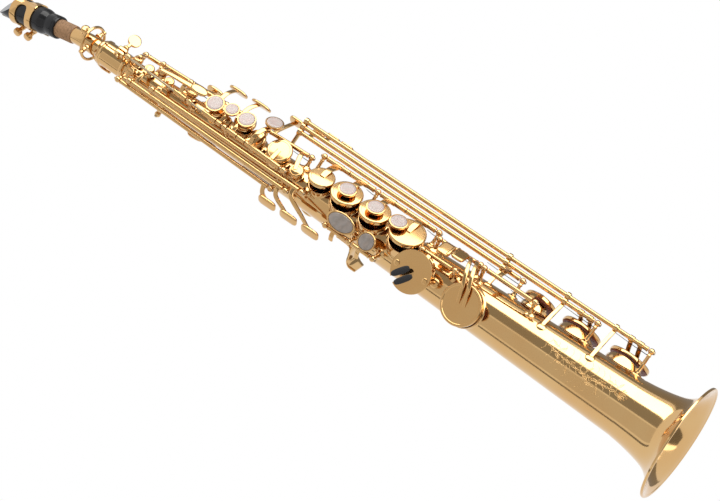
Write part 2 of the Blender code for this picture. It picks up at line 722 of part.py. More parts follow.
def make_reed():
    flat = TABLE_DEPTH + CLEARANCE
    crown = MOUTHPIECE_RADIUS - 0.2
    half = math.sqrt(crown ** 2 - flat ** 2) - 0.3
    rings = []
    for s, share in ((REED_START + 0.5, 1.0), (REED_VAMP, 1.0), ((REED_VAMP + TIP) / 2.0, 0.5),
                     (TIP - 1.0, 0.16)):
        ring = [on_neck(s, half, flat), on_neck(s, -half, flat)]
        for i in range(7):
            x = -half + 2.0 * half * i / 6.0
            rise = math.sqrt(crown ** 2 - x ** 2) - flat
            ring.append(on_neck(s, x, flat + max(rise, 0.3) * share))
        rings.append(ring)
    add_mesh("reed", loft(rings), "cane")


LIGATURE_SCREWS = {"upper": 0.78, "lower": 0.28}
LIGATURE_SCREW_RADIUS = 1.2


def make_ligature():
    inner = MOUTHPIECE_RADIUS + CLEARANCE
    outer = inner + LIGATURE_WALL
    end = LIGATURE_START + LIGATURE_LENGTH
    profile = [(outer, LIGATURE_START), (outer, end), (inner, end), (inner, LIGATURE_START)]
    ring = turned(profile, NECK_END, NECK_UP, MOUTHPIECE_SIDES, loop=True)
    band = add_mesh("ligature", ring, "key_lacquer")
    barrel_back = outer + 1.7
    for share in LIGATURE_SCREWS.values():
        s = LIGATURE_START + LIGATURE_LENGTH * share
        combine(band, cylinder(on_neck(s, -5.0, barrel_back), on_neck(s, 5.0, barrel_back), 2.3, 8),
                "UNION")
    combine(band, box(on_neck(LIGATURE_START + LIGATURE_LENGTH / 2.0, back=outer + 1.0), 1.0, 4.0,
                      LIGATURE_LENGTH / 2.0 + 1.0, NECK_AXES), "DIFFERENCE")
    for turn in (62.0, 118.0):
        angle = math.radians(turn)
        window = NECK_BACK * -math.cos(angle - math.pi / 2.0) + ACROSS * -math.sin(angle - math.pi / 2.0)
        centre = on_neck(LIGATURE_START + LIGATURE_LENGTH / 2.0) + window * outer
        combine(band, plate(centre, window, NECK_UP, LIGATURE_LENGTH * 0.52, 6.0, 4.0, 8, 0.9),
                "DIFFERENCE")
    for name, share in LIGATURE_SCREWS.items():
        s = LIGATURE_START + LIGATURE_LENGTH * share
        hole = cylinder(on_neck(s, -7.0, barrel_back), on_neck(s, 7.0, barrel_back),
                        LIGATURE_SCREW_RADIUS + CLEARANCE)
        combine(band, hole, "DIFFERENCE")
        screw = [(LIGATURE_SCREW_RADIUS, -6.5), (LIGATURE_SCREW_RADIUS, 5.4), (2.0, 5.8), (2.0, 8.2),
                 (3.4, 8.8), (3.4, 12.4), (2.8, 13.2)]
        add_mesh(f"ligature_screw_{name}", turned(screw, on_neck(s, 0.0, barrel_back), ACROSS * -1.0, 12),
                 "key_lacquer")


# Fixed fittings on the body

THUMB_REST_Z = at("b", -1.0)
THUMB_REST_TURN = 172.0
THUMB_HOOK_Z = at("e", 9.0)
THUMB_HOOK_TURN = 163.0
STRAP_RING_Z = at("f_sharp", 9.5)
STRAP_RING_RADIUS = 5.4
STRAP_WIRE = 1.35
GUARD_LEVEL = 14.4
GUARD_LEG = 14.9


def make_fittings():
    skin = tube_radius(THUMB_REST_Z) + CLEARANCE
    rest = [(7.0, 0.0), (7.0, 1.6), (6.2, 2.6), (3.5, 3.2)]
    seat = place(skin, THUMB_REST_TURN, THUMB_REST_Z)
    add_mesh("thumb_rest", turned(rest, seat, outward(THUMB_REST_TURN), 20), "ebonite")
    skin = tube_radius(THUMB_HOOK_Z - 14.0) + CLEARANCE
    up = Vector((0.0, 0.0, 1.0))
    hook = [place(skin + 0.9, THUMB_HOOK_TURN, THUMB_HOOK_Z + 15.0),
            place(skin + 0.9, THUMB_HOOK_TURN, THUMB_HOOK_Z + 3.0),
            place(skin + 4.0, THUMB_HOOK_TURN, THUMB_HOOK_Z),
            place(skin + 13.0, THUMB_HOOK_TURN, THUMB_HOOK_Z - 0.6),
            place(skin + 17.0, THUMB_HOOK_TURN, THUMB_HOOK_Z - 3.5),
            place(skin + 18.4, THUMB_HOOK_TURN, THUMB_HOOK_Z - 9.0)]
    add_mesh("thumb_hook", strip(hook, [10.0, 12.0, 14.0, 15.0, 15.0, 13.0], 1.8,
                                 sideways(THUMB_HOOK_TURN)), "lacquer")
    skin = tube_radius(STRAP_RING_Z) + CLEARANCE
    loop = []
    for i in range(12):
        angle = 2.0 * math.pi * i / 12
        radius = skin + STRAP_RING_RADIUS + 1.8 + STRAP_RING_RADIUS * math.cos(angle)
        loop.append(place(radius, 180.0, STRAP_RING_Z + STRAP_RING_RADIUS * math.sin(angle)))
    ring = add_mesh("strap_ring", wire(loop, STRAP_WIRE, closed=True), "lacquer")
    base = plate(place(skin + 1.0, 180.0, STRAP_RING_Z), outward(180.0), up, 20.0, 9.0, 1.8, 10, 0.8)
    combine(ring, base, "UNION")
    guard_turn = HOLES["low_e_flat"][1]
    face = outward(guard_turn)
    level = GUARD_LEVEL
    centre = above(level, guard_turn, at("low_e_flat"))
    disc = [(15.4, -0.7), (16.4, 0.0), (15.8, 0.7)]
    guard = add_mesh("low_e_flat_guard", turned(disc, centre, face, 24), "key_lacquer")
    for side in (-1.0, 1.0):
        z = at("low_e_flat", side * GUARD_LEG)
        leg = [above(CLEARANCE, guard_turn, z), centre + Vector((0.0, 0.0, z - centre.z)) - face * 0.2]
        combine(guard, cylinder(*leg, 1.5, 8), "UNION")
    slot = [centre, centre + sideways(guard_turn) * 17.0]
    combine(guard, strip(slot, 5.0, 6.0, up), "DIFFERENCE")


# Keys

class Key:
    """A key that turns on a hinge line; parts are added to it with the key closed."""

    def __init__(self, name, line, low_z, high_z, swing, hole=None, stands_open=False,
                 press=None, tube=False):
        self.name = name
        self.line = line
        self.ends = line.point(low_z), line.point(high_z)
        self.tube = tube
        self.hole = HOLES.get(hole)
        aim = press
        if self.hole:
            z, turn, radius = self.hole
            aim = place(seat_height(z), turn, z)
        lift = line.axis.cross(aim - line.point(aim.z)).dot(outward(turn_of(aim)))
        opening = line.axis if lift > 0.0 else line.axis * -1.0
        axis = opening if self.hole and not stands_open else opening * -1.0
        rest = -math.radians(swing) if stands_open else 0.0
        self.pivot = Pivot(name, self.ends[0].lerp(self.ends[1], 0.5), axis, rest)
        self.pivot.empty["swing"] = swing
        radius = TUBE_RADIUS if tube else SHAFT_RADIUS
        self.thing = add_mesh(name, cylinder(*self.ends, radius), "key_lacquer", self.pivot)

    def add(self, shell):
        combine(self.thing, shell, "UNION", self.pivot)

    def arm(self, *stops, width=ARM_WIDTH, thickness=ARM_THICKNESS):
        """A flat arm from a height on the hinge through points."""
        path = [self.line.point(stops[0]), *stops[1:]]
        self.add(strip(path, width, thickness, self.line.axis))

    def over_cup(self, aside=0.0, lift=0.0, rise=0.0):
        """A point above the flat of the cup, moved aside round the body and along it."""
        z, turn, radius = self.hole
        top = outward(turn) * (self.cup_top() + lift) + sideways(turn) * aside
        return top + Vector((0.0, 0.0, z + rise))

    def cup_top(self):
        z, turn, radius = self.hole
        return seat_height(z) + CLEARANCE + PAD_SHOW + CUP_HEIGHT

    def cup(self, pad=False):
        """The pad cup over the key's tone hole, with a separate pad where it shows."""
        z, turn, radius = self.hole
        base = seat_height(z) + CLEARANCE
        lip = base + PAD_SHOW
        top = self.cup_top()
        dome = [(radius, lip), (radius, top - 0.8), (radius - 0.9, top)]
        origin = Vector((0.0, 0.0, z))
        if pad:
            seat = radius - PAD_MARGIN + CLEARANCE
            dome = [(seat, lip + PAD_RECESS), (seat, lip)] + dome
            disc = [(radius - PAD_MARGIN, base), (radius - PAD_MARGIN, lip + PAD_RECESS - CLEARANCE)]
            shell = turned(disc, origin, outward(turn), round_sides(radius))
            add_mesh(self.name.replace("_key", "_pad"), shell, "leather", self.pivot)
        else:
            dome = [(radius - PAD_MARGIN, base), (radius - PAD_MARGIN, lip)] + dome
        self.add(turned(dome, origin, outward(turn), round_sides(radius)))

    def touch(self, centre, length, width, tilt=0.0, power=0.6):
        """A finger plate facing outward."""
        face = outward(turn_of(centre) + tilt)
        self.add(plate(centre, face, Vector((0.0, 0.0, 1.0)), length, width, TOUCH_THICKNESS,
                       power=power))

    def pearl(self, origin, stem=PEARL_STEM, radius=PEARL_RADIUS):
        """A holder with a separate pearl set into it."""
        up = outward(turn_of(origin))
        rim = radius + PEARL_RIM
        well = radius + CLEARANCE
        holder = [(2.1, -0.6), (2.1, stem), (rim - 0.4, stem), (rim, stem + 2.2), (well, stem + 2.3),
                  (well, stem + 1.2)]
        self.add(turned(holder, origin, up, PEARL_SIDES))
        floor = stem + 1.2 + CLEARANCE
        bead = [(radius, floor), (radius, floor + 0.8), (0.7 * radius, floor + 1.7)]
        name = self.name.replace("_key", "").replace("_lever", "") + "_pearl"
        add_mesh(name, turned(bead, origin, up, PEARL_SIDES), "pearl", self.pivot)

    def finish(self):
        """Bore the hinge tube of a stack key."""
        if self.tube:
            reach = self.line.axis * 1.0
            bore = cylinder(self.ends[0] - reach, self.ends[1] + reach, ROD_RADIUS + CLEARANCE)
            combine(self.thing, bore, "DIFFERENCE", self.pivot)


PIVOT_GAP = BALL_RADIUS + CLEARANCE
STACK_END_GAP = PIVOT_GAP + 0.2
SHAFT_GAP = 0.5
TABLE_STEP = 12.2
LINK_RISE = 29.0
D_PEARL_RISE = 9.0
BIS_PEARL_RADIUS = 4.9
LEVER_SWING = 6.0
STACK_SWING = 10.0
UPPER_SWING = 14.0
PALM_SWING = 12.0
SIDE_SWING = 10.0
BELL_SWING = 16.0


def between_posts(name, swing, hole=None, stands_open=False, press=None, ending="key",
                  top_gap=PIVOT_GAP):
    """A key whose solid shaft turns between the end posts of its own line."""
    line = LINES[name]
    return Key(f"{name}_{ending}", line, line.low.z + PIVOT_GAP, line.high.z - top_gap, swing, hole,
               stands_open, press)


def cup_gap(low, high):
    """Height halfway between two neighbouring cups."""
    return (at(low, HOLES[low][2]) + at(high, -HOLES[high][2])) / 2.0


def make_lower_stack():
    low, middle, high = LOWER_POSTS
    half = SHAFT_GAP / 2.0
    split = cup_gap("f", "f_sharp")
    joint = cup_gap("d", "e")
    spans = {
        "f_sharp": (split + half, high - STACK_END_GAP),
        "f": (middle + STACK_END_GAP, split - half),
        "e": (joint + half, middle - STACK_END_GAP),
        "d": (low + STACK_END_GAP, joint - half),
    }
    for name, span in spans.items():
        key = Key(f"{name}_key", LOWER, *span, STACK_SWING, name, stands_open=True, tube=True)
        z, turn, radius = key.hole
        key.arm(z, key.over_cup(1.5 - radius, 0.9), key.over_cup(), width=[7.0, 5.4, 4.4])
        key.cup(pad=True)
        if name != "f_sharp":
            rise = D_PEARL_RISE if name == "d" else 0.0
            key.pearl(place(key.cup_top(), 1.0, z + rise))
        key.finish()


def make_upper_stack():
    low, middle, high, top = UPPER_POSTS
    g = Key("g_key", UPPER, low + 3.5, at("c_vent", 3.0), UPPER_SWING, "g", stands_open=True, tube=True)
    g.arm(at("g"), g.over_cup(6.0, 0.6), g.over_cup())
    g.cup()
    finger = above(12.9, -30.0, at("g", 15.0))
    g.arm(at("g", 20.0), above(14.7, 12.0, at("g", 19.6)), above(14.4, -8.0, at("g", 18.0)), finger)
    g.pearl(finger)
    vent = Key("c_vent_key", UPPER, at("c_vent", 3.6), at("c_vent", 11.4), UPPER_SWING, "c_vent",
               stands_open=True, tube=True)
    vent.arm(at("c_vent", 6.0), vent.over_cup(4.0, 0.6, 3.0), vent.over_cup(rise=1.0), width=3.0)
    vent.cup()
    a = Key("a_key", UPPER, at("c_vent", 12.0), middle - 3.3, UPPER_SWING, "a", stands_open=True, tube=True)
    a.arm(at("a", 1.0), a.over_cup(7.2, 0.8, 0.8), a.over_cup())
    a.cup()
    a.pearl(place(a.cup_top(), -12.0, at("a", -2.9)), stem=4.0)
    bis = Key("bis_key", UPPER, middle + 3.1, at("bis", 4.1), UPPER_SWING, "bis",
              stands_open=True, tube=True)
    bis.arm(at("bis", 1.5), bis.over_cup(2.2, 0.4, 0.6), bis.over_cup(), width=2.8)
    bis.cup()
    finger = above(10.4, -11.0, at("bis", -0.9))
    bis.arm(at("bis", 1.7), above(10.65, 6.0, at("bis", 1.1)), finger, width=2.8)
    bis.pearl(finger, radius=BIS_PEARL_RADIUS)
    b = Key("b_key", UPPER, at("bis", 4.7), at("b", 6.0), UPPER_SWING, "b", stands_open=True, tube=True)
    b.arm(at("b"), b.over_cup(5.8, 0.8), b.over_cup())
    b.cup()
    b.pearl(place(b.cup_top(), -5.0, at("b", 1.2)), stem=4.0)
    finger = above(17.6, -3.0, high - 2.0)
    front = Key("front_f_lever", UPPER, high + 3.5, high + 15.5, LEVER_SWING, press=finger, tube=True)
    hub = high + 10.5
    front.arm(hub, above(14.25, 8.0, hub), above(16.6, -1.0, hub))
    bar = [above(15.0, 0.0, hub + 24.0), above(16.7, 0.0, hub + 12.0), above(17.0, -1.0, hub),
           above(17.3, -3.0, hub - 14.0)]
    front.add(strip(bar, [3.2, 3.6, 4.2, 5.0], 1.8, sideways(0.0)))
    front.touch(finger, 15.0, 8.5, power=0.9)
    for key in (g, vent, a, bis, b, front):
        key.finish()


def make_palm_keys():
    touches = {
        "palm_d": (above(15.5, -54.0, at("palm_d", -20.5)), above(21.5, -70.0, at("palm_d", -21.0)),
                   above(24.5, -80.0, at("palm_d", -21.0)), 17.0),
        "palm_e_flat": (above(15.4, -66.0, at("palm_d", -40.0)), above(21.3, -72.0, at("palm_d", -42.0)),
                        above(23.8, -76.0, at("palm_d", -44.0)), 18.0),
        "palm_f": (above(11.6, -83.0, at("palm_d", -2.5)), above(16.6, -92.0, at("palm_d", -3.0)),
                   above(19.6, -98.0, at("palm_d", -3.0)), 17.0),
    }
    for name, (first, second, finger, length) in touches.items():
        key = between_posts(name, PALM_SWING, name)
        z, turn, radius = key.hole
        key.arm(z, key.over_cup(1.0 - radius, 0.5), key.over_cup(), width=3.0)
        key.cup()
        key.arm(first.z + 0.5, first, second, finger)
        key.touch(finger, length, 10.0, tilt=12.0, power=0.8)


def make_side_keys():
    bends = {
        "side_b_flat": ((13.1, 84.0, 4.0), (15.4, 91.0, -3.0)),
        "side_e": ((12.8, 71.0, 4.5), (14.2, 84.0, -6.0), (14.8, 91.0, -11.5)),
        "side_c": ((12.4, 57.0, 4.5), (13.4, 74.0, -10.0), (14.1, 91.0, -20.0)),
    }
    for name, stops in bends.items():
        key = between_posts(name, SIDE_SWING, name)
        z, turn, radius = key.hole
        line_turn = turn_of(key.line.point(z))
        low = key.cup_top() + 0.1
        key.arm(z, place(low + 1.6, line_turn - 12.0, z), place(low, (turn + line_turn) / 2.0 + 3.0, z),
                place(low, turn, z), width=3.0, thickness=1.5)
        key.cup()
        foot = key.line.low.z
        path = [above(rise, stop_turn, foot + along) for rise, stop_turn, along in stops]
        key.arm(foot + 6.5, *path)
        key.touch(path[-1], 16.0, 9.0, power=0.5)


def make_left_little_finger():
    table = long_rod_radius(2) + 0.25
    sharp = between_posts("g_sharp", PALM_SWING, "g_sharp")
    z, turn, radius = sharp.hole
    sharp.arm(z + 6.0, place(sharp.cup_top() + 2.2, -20.0, z + 5.5),
              place(sharp.cup_top() - 0.2, turn, z + 1.0))
    sharp.cup()
    z = LONG_ROD_TOP_Z + 13.0
    sharp.arm(z + 2.0, above(12.9, -54.0, z + 1.5), place(table - 8.5, -71.0, z + 0.5),
              place(table - 1.5, -80.0, z))
    sharp.touch(place(table - 1.0, -80.5, z), 13.0, 11.0)
    top_gap = STAY_THICKNESS / 2.0 + CLEARANCE
    for order, name in enumerate(LONG_ROD_BOTTOMS):
        z = LONG_ROD_TOP_Z - 7.5 - TABLE_STEP * order
        finger = place(table, -80.0, z)
        if name == "c_sharp_lever":
            line = LINES[name]
            key = Key(name, line, line.low.z + PIVOT_GAP, line.high.z - top_gap, LEVER_SWING, press=finger)
            reach = long_rod_radius(order)
            low = at("low_c_sharp", LINK_RISE)
            key.arm(low, place(reach + 2.5, -50.0, low), place(reach + 3.1, -41.0, low))
        else:
            key = between_posts(name, BELL_SWING, name, stands_open=True, top_gap=top_gap)
            hole_z, turn, radius = key.hole
            top = key.cup_top()
            for shift in (-4.0, 4.0):
                key.arm(hole_z + shift, place(top + 5.0, turn + 18.0, hole_z + shift),
                        place(top, turn, hole_z + shift))
            key.cup(pad=True)
        reach = long_rod_radius(order)
        key.arm(z, place((reach + table) / 2.0, -69.0, z), place(table - 0.5, -79.0, z))
        key.touch(finger, TABLE_STEP - 1.0, 10.0, power=0.45)


def make_low_keys():
    c_sharp = between_posts("low_c_sharp", 9.0, "low_c_sharp", stands_open=True)
    z, turn, radius = c_sharp.hole
    top = c_sharp.cup_top()
    c_sharp.arm(z + 1.0, above(10.9, -36.0, z + 1.0), above(9.4, -56.0, z), place(top + 1.4, -72.0, z),
                place(top, turn, z), width=4.6)
    c_sharp.cup()
    link = z + LINK_RISE
    c_sharp.arm(link, above(11.8, -32.0, link), above(11.6, -42.0, link))
    low_c = between_posts("low_c", STACK_SWING, "low_c", stands_open=True)
    z, turn, radius = low_c.hole
    for shift in (-2.6, 2.6):
        low = z + shift
        low_c.arm(low + 17.0, above(14.4, -12.0, low + 12.0), above(14.8, 10.0, low + 7.0),
                  above(11.6, 32.0, low + 2.0), place(low_c.cup_top(), turn, low), width=3.0)
    low_c.cup(pad=True)
    e_flat = at("low_e_flat")
    low_c.arm(e_flat - 18.0, above(11.4, -20.0, e_flat - 19.5), above(11.7, -13.0, e_flat - 21.0))
    low_c.touch(above(12.1, -11.0, e_flat - 21.0), 10.8, 13.0, power=0.5)
    low_e = between_posts("low_e_flat", 9.0, "low_e_flat")
    z, turn, radius = low_e.hole
    low_e.arm(z - 2.6, low_e.over_cup(2.4 - radius, 0.8, -2.6), low_e.over_cup(rise=-1.0))
    low_e.cup()
    low = e_flat - 9.4
    low_e.arm(low, above(11.5, -2.0, low), above(12.1, -10.0, low))
    low_e.touch(above(12.5, -11.0, low), 10.8, 13.0, power=0.5)


def make_high_levers():
    levers = {
        "high_f_sharp": (at("e", 14.5), 3.5, 45.0, 9.9),
        "high_g": (at("e", -10.0), 4.0, 47.0, 9.3),
    }
    for name, (z, tail, turn, rise) in levers.items():
        finger = above(rise + 0.2, turn, z)
        key = between_posts(name, 7.0, press=finger, ending="lever")
        key.arm(z, above(rise, turn + 11.0, z), above(rise + 0.2, turn + 1.0, z))
        key.arm(z + tail, above(rise + 0.7, 76.0, z + tail), above(rise + 0.7, 86.0, z + tail))
        key.pearl(finger, stem=1.0)


def make_octave_keys():
    pivot = octave_pivot()
    back = Vector((0.0, 1.0, 0.0))
    up = Vector((0.0, 0.0, 1.0))
    hinge = Pivot("octave_thumb_lever", pivot, ACROSS * -1.0, 0.0)
    hinge.empty["swing"] = 3.0
    half = ACROSS * (OCTAVE_HALF_SPAN - PIVOT_GAP)
    lever = add_mesh("octave_thumb_lever", cylinder(pivot - half, pivot + half, SHAFT_RADIUS),
                     "key_lacquer", hinge)
    reach = RECEIVER_RADIUS + RECEIVER_RIM
    bar = [Vector((0.0, reach + 3.0, RECEIVER_TOP_Z - 3.5)), Vector((0.0, reach + 4.5, BODY_TOP_Z)),
           pivot.copy(), pivot + Vector((0.0, 2.0, -20.0)), pivot + Vector((0.0, 4.0, -34.0))]
    combine(lever, strip(bar, [3.2, 3.6, 5.0, 5.0, 6.0], 1.8, ACROSS), "UNION", hinge)
    combine(lever, plate(bar[-1] + back * 0.3, back + up * -0.15, up, 17.0, 11.0, TOUCH_THICKNESS),
            "UNION", hinge)
    hinge = Pivot("octave_neck_key", OCTAVE_NECK_PIVOT, ACROSS, 0.0)
    hinge.empty["swing"] = 9.6
    side = OCTAVE_NECK_HALF_SPAN + 0.5 + 1.2
    loop = []
    for i in range(14):
        angle = 2.0 * math.pi * i / 14
        y = -1.0 + 13.5 * math.cos(angle)
        loop.append(Vector((side * math.sin(angle), y, OCTAVE_NECK_PIVOT.z - 0.15 * (y + 2.0))))
    ring = add_mesh("octave_neck_key", wire(loop, 1.2, closed=True, sides=6), "key_lacquer", hinge)
    tail = [Vector((0.0, 12.3, OCTAVE_NECK_PIVOT.z - 2.1)),
            Vector((0.0, reach + 7.0, RECEIVER_TOP_Z + 2.5)),
            Vector((0.0, reach + 6.4, RECEIVER_TOP_Z - 7.0))]
    combine(ring, strip(tail, [4.0, 5.0, 6.0], 1.8, ACROSS), "UNION", hinge)
    cup_base = -OCTAVE_PIP_REACH - CLEARANCE
    cup = [(3.2, 0.0), (3.6, 0.6), (3.6, 2.2), (2.6, 2.9)]
    combine(ring, turned(cup, Vector((0.0, cup_base, OCTAVE_PIP_Z)), back * -1.0, 14), "UNION", hinge)
    link = [Vector((0.0, -14.4, OCTAVE_NECK_PIVOT.z + 1.4)), Vector((0.0, -12.7, OCTAVE_PIP_Z - 0.6))]
    combine(ring, strip(link, 2.7, 1.5, ACROSS), "UNION", hinge)


def make_rods():
    for name, line in (("upper_stack_rod", UPPER), ("lower_stack_rod", LOWER)):
        ends = line.low - line.axis * 2.2, line.high + line.axis * 2.2
        add_mesh(name, cylinder(*ends, ROD_RADIUS), "steel")


def main():
    for old in list(bpy.data.objects):
        bpy.data.objects.remove(old, do_unlink=True)
    make_body()
    make_bell()
    make_rods()
    make_receiver()
    make_neck()
    make_mouthpiece()
    make_reed()
    make_ligature()
    make_fittings()
    make_lower_stack()
    make_upper_stack()
    make_palm_keys()
    make_side_keys()
    make_left_little_finger()
    make_low_keys()
    make_high_levers()
    make_octave_keys()


main()
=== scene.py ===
import json
import math

import bmesh
import bpy
from mathutils import Matrix, Vector


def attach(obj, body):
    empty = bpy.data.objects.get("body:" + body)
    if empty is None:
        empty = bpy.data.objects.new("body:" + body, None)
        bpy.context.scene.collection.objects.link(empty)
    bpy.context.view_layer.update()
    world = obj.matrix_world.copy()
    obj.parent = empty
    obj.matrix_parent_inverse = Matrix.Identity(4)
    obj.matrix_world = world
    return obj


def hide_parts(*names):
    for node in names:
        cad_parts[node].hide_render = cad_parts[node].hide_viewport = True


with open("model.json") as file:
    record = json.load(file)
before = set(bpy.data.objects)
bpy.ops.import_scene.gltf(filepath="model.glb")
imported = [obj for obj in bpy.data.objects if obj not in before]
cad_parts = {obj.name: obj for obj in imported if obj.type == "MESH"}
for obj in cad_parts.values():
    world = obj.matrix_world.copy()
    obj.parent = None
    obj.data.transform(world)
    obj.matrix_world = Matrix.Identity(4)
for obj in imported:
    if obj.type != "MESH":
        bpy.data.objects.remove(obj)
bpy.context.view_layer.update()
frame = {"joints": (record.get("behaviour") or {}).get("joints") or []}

bl_info = {
    "name": "Soprano Saxophone",
    "version": (1, 0, 0),
    "blender": (4, 5, 0),
    "location": "View3D > Sidebar > Saxophone",
    "description": "Dresses the packed frame of a soprano saxophone",
    "category": "Add Mesh",
}

MM = 0.001
UP = Vector((0.0, 0.0, 1.0))
ACROSS = Vector((1.0, 0.0, 0.0))
BACK = Vector((0.0, 1.0, 0.0))
GAP = 0.3

# Body cone and bell, in millimetres
BODY_BOTTOM_Z = 44.3
BODY_BOTTOM_RADIUS = 23.25
BODY_TOP_RADIUS = 8.3
BODY_WALL = 0.9
BELL_RIM_RADIUS = 46.08

# Tone holes from the bell up: free length above the cup below, turn and cup radius
HOLE_ROW = {
    "low_b_flat": (5.6, -85.0, 16.6),
    "low_b": (8.0, -88.0, 16.4),
    "low_c_sharp": (5.5, -85.0, 13.6),
    "low_c": (7.2, 53.0, 16.2),
    "low_e_flat": (14.8, 45.0, 13.0),
    "d": (-5.3, 0.0, 14.3),
    "e": (3.3, 0.0, 12.4),
    "f": (1.0, 0.0, 12.6),
    "f_sharp": (0.6, 0.0, 10.3),
    "g_sharp": (4.4, 12.0, 5.8),
    "g": (4.2, -2.0, 10.0),
    "c_vent": (3.8, 3.0, 7.2),
    "a": (0.7, -18.0, 8.6),
    "bis": (-0.5, 7.0, 3.9),
    "b": (1.6, -8.0, 7.0),
    "palm_d": (15.2, -20.0, 4.8),
    "side_c": (11.0, -4.0, 4.2),
    "palm_e_flat": (2.4, -30.0, 4.4),
    "side_e": (0.4, -4.0, 4.2),
    "side_b_flat": (2.9, 38.0, 3.9),
    "palm_f": (-5.9, -14.0, 4.0),
}


def hole_places():
    """Height of each hole's centre, turn and cup radius."""
    places = {}
    edge = BODY_BOTTOM_Z
    for name, (gap, turn, radius) in HOLE_ROW.items():
        z = edge + gap + radius
        places[name] = (z, turn, radius)
        edge = z + radius
    return places


HOLES = hole_places()


def at(name, offset=0.0):
    """A height on the body, measured from the centre of a tone hole."""
    return HOLES[name][0] + offset


BODY_TOP_Z = at("palm_f", 12.0)
TAPER = (BODY_BOTTOM_RADIUS - BODY_TOP_RADIUS) / (BODY_TOP_Z - BODY_BOTTOM_Z)


def tube_radius(z):
    """Outer radius of the conical body at height z."""
    return BODY_TOP_RADIUS + TAPER * (BODY_TOP_Z - z)


def outward(turn):
    """Unit vector away from the body axis."""
    angle = math.radians(turn)
    return Vector((-math.sin(angle), -math.cos(angle), 0.0))


def sideways(turn):
    """Unit vector round the body, towards growing turn."""
    angle = math.radians(turn)
    return Vector((-math.cos(angle), math.sin(angle), 0.0))


def place(radius, turn, z):
    """A point by its distance from the body axis, turn and height."""
    return outward(turn) * radius + UP * z


def above(rise, turn, z):
    """A point that stands off the body's skin by a rise."""
    return place(tube_radius(z) + rise, turn, z)


def turn_of(point):
    """Turn of a point round the body."""
    return math.degrees(math.atan2(-point.x, -point.y))


class HingeLine:
    """A straight hinge between two heights, standing off the body by a rise."""

    def __init__(self, turn, low_z, high_z, low_rise, high_rise=None, high_turn=None):
        high_rise = low_rise if high_rise is None else high_rise
        high_turn = turn if high_turn is None else high_turn
        self.low = above(low_rise, turn, low_z)
        self.high = above(high_rise, high_turn, high_z)
        self.axis = (self.high - self.low).normalized()

    def point(self, z):
        """The point of the line at a height."""
        return self.low.lerp(self.high, (z - self.low.z) / (self.high.z - self.low.z))


LONG_ROD_TURN = -57.0
LONG_ROD_TOP_Z = at("g", 2.0)
LONG_ROD_BOTTOMS = {
    "c_sharp_lever": at("low_c_sharp", 17.0),
    "low_b": at("low_b", -10.5),
    "low_b_flat": at("low_b_flat", -13.0),
}


def long_rod_radius(order):
    """Distance of a long rod from the body axis."""
    return tube_radius(at("low_b_flat")) + 10.5 + 4.6 * order


def long_rod(order, bottom_z):
    """A rod parallel to the body axis."""
    radius = long_rod_radius(order)
    return HingeLine(LONG_ROD_TURN, bottom_z, LONG_ROD_TOP_Z, radius - tube_radius(bottom_z),
                     radius - tube_radius(LONG_ROD_TOP_Z))


UPPER_POSTS = (at("g", -13.5), at("a", 8.3), at("b", 19.5), at("palm_f", 4.0))
LOWER_POSTS = (at("d", -14.0), (at("e") + at("f")) / 2.0 - 0.3, at("f_sharp", 14.0))
UPPER = HingeLine(28.0, UPPER_POSTS[0], UPPER_POSTS[-1], 10.5, 11.5, 12.0)
LOWER = HingeLine(-52.0, LOWER_POSTS[0], LOWER_POSTS[-1], 11.0, 14.0)
LINES = {
    "side_c": HingeLine(42.0, at("f_sharp", 5.5), at("side_c", 5.0), 9.5),
    "side_e": HingeLine(57.0, at("f_sharp", 17.5), at("side_e", 6.0), 9.5),
    "side_b_flat": HingeLine(72.0, at("f_sharp", 29.5), at("side_b_flat", 5.0), 9.5),
    "palm_d": HingeLine(-42.0, at("palm_d", -27.0), at("palm_d", 8.0), 8.5),
    "palm_e_flat": HingeLine(-58.0, at("palm_d", -45.0), at("palm_e_flat", 7.0), 8.5),
    "palm_f": HingeLine(-74.0, at("palm_d", -9.0), at("palm_f", 4.0), 8.5),
    "g_sharp": HingeLine(-40.0, at("g_sharp"), LONG_ROD_TOP_Z + 20.0, 9.0),
    "high_g": HingeLine(67.0, at("e", -19.0), at("e", 3.5), 9.5),
    "high_f_sharp": HingeLine(67.0, at("e", 3.5), at("e", 26.0), 9.5),
    "low_e_flat": HingeLine(8.0, at("low_e_flat", -25.0), at("low_e_flat", 4.5), 9.5),
    "low_c": HingeLine(-32.0, at("low_c", 9.5), at("low_e_flat", 2.0), 9.5),
    "low_c_sharp": HingeLine(-21.0, at("low_c_sharp", -4.0), at("low_c", 4.0), 10.7, 12.1),
    "c_sharp_lever": long_rod(0, LONG_ROD_BOTTOMS["c_sharp_lever"]),
    "low_b": long_rod(1, LONG_ROD_BOTTOMS["low_b"]),
    "low_b_flat": long_rod(2, LONG_ROD_BOTTOMS["low_b_flat"]),
}
STAYS = {
    at("low_c", -2.0): (-33.0, 0),
    at("low_c_sharp", -17.0): (-8.0, 1),
    at("low_b_flat", 17.5): (-8.0, 2),
    LONG_ROD_TOP_Z: (LONG_ROD_TURN, 0),
}
BACK_TURN = 180.0
OCTAVE_PIVOT = above(7.5, BACK_TURN, BODY_TOP_Z - 42.0)
OCTAVE_HALF_SPAN = 8.5

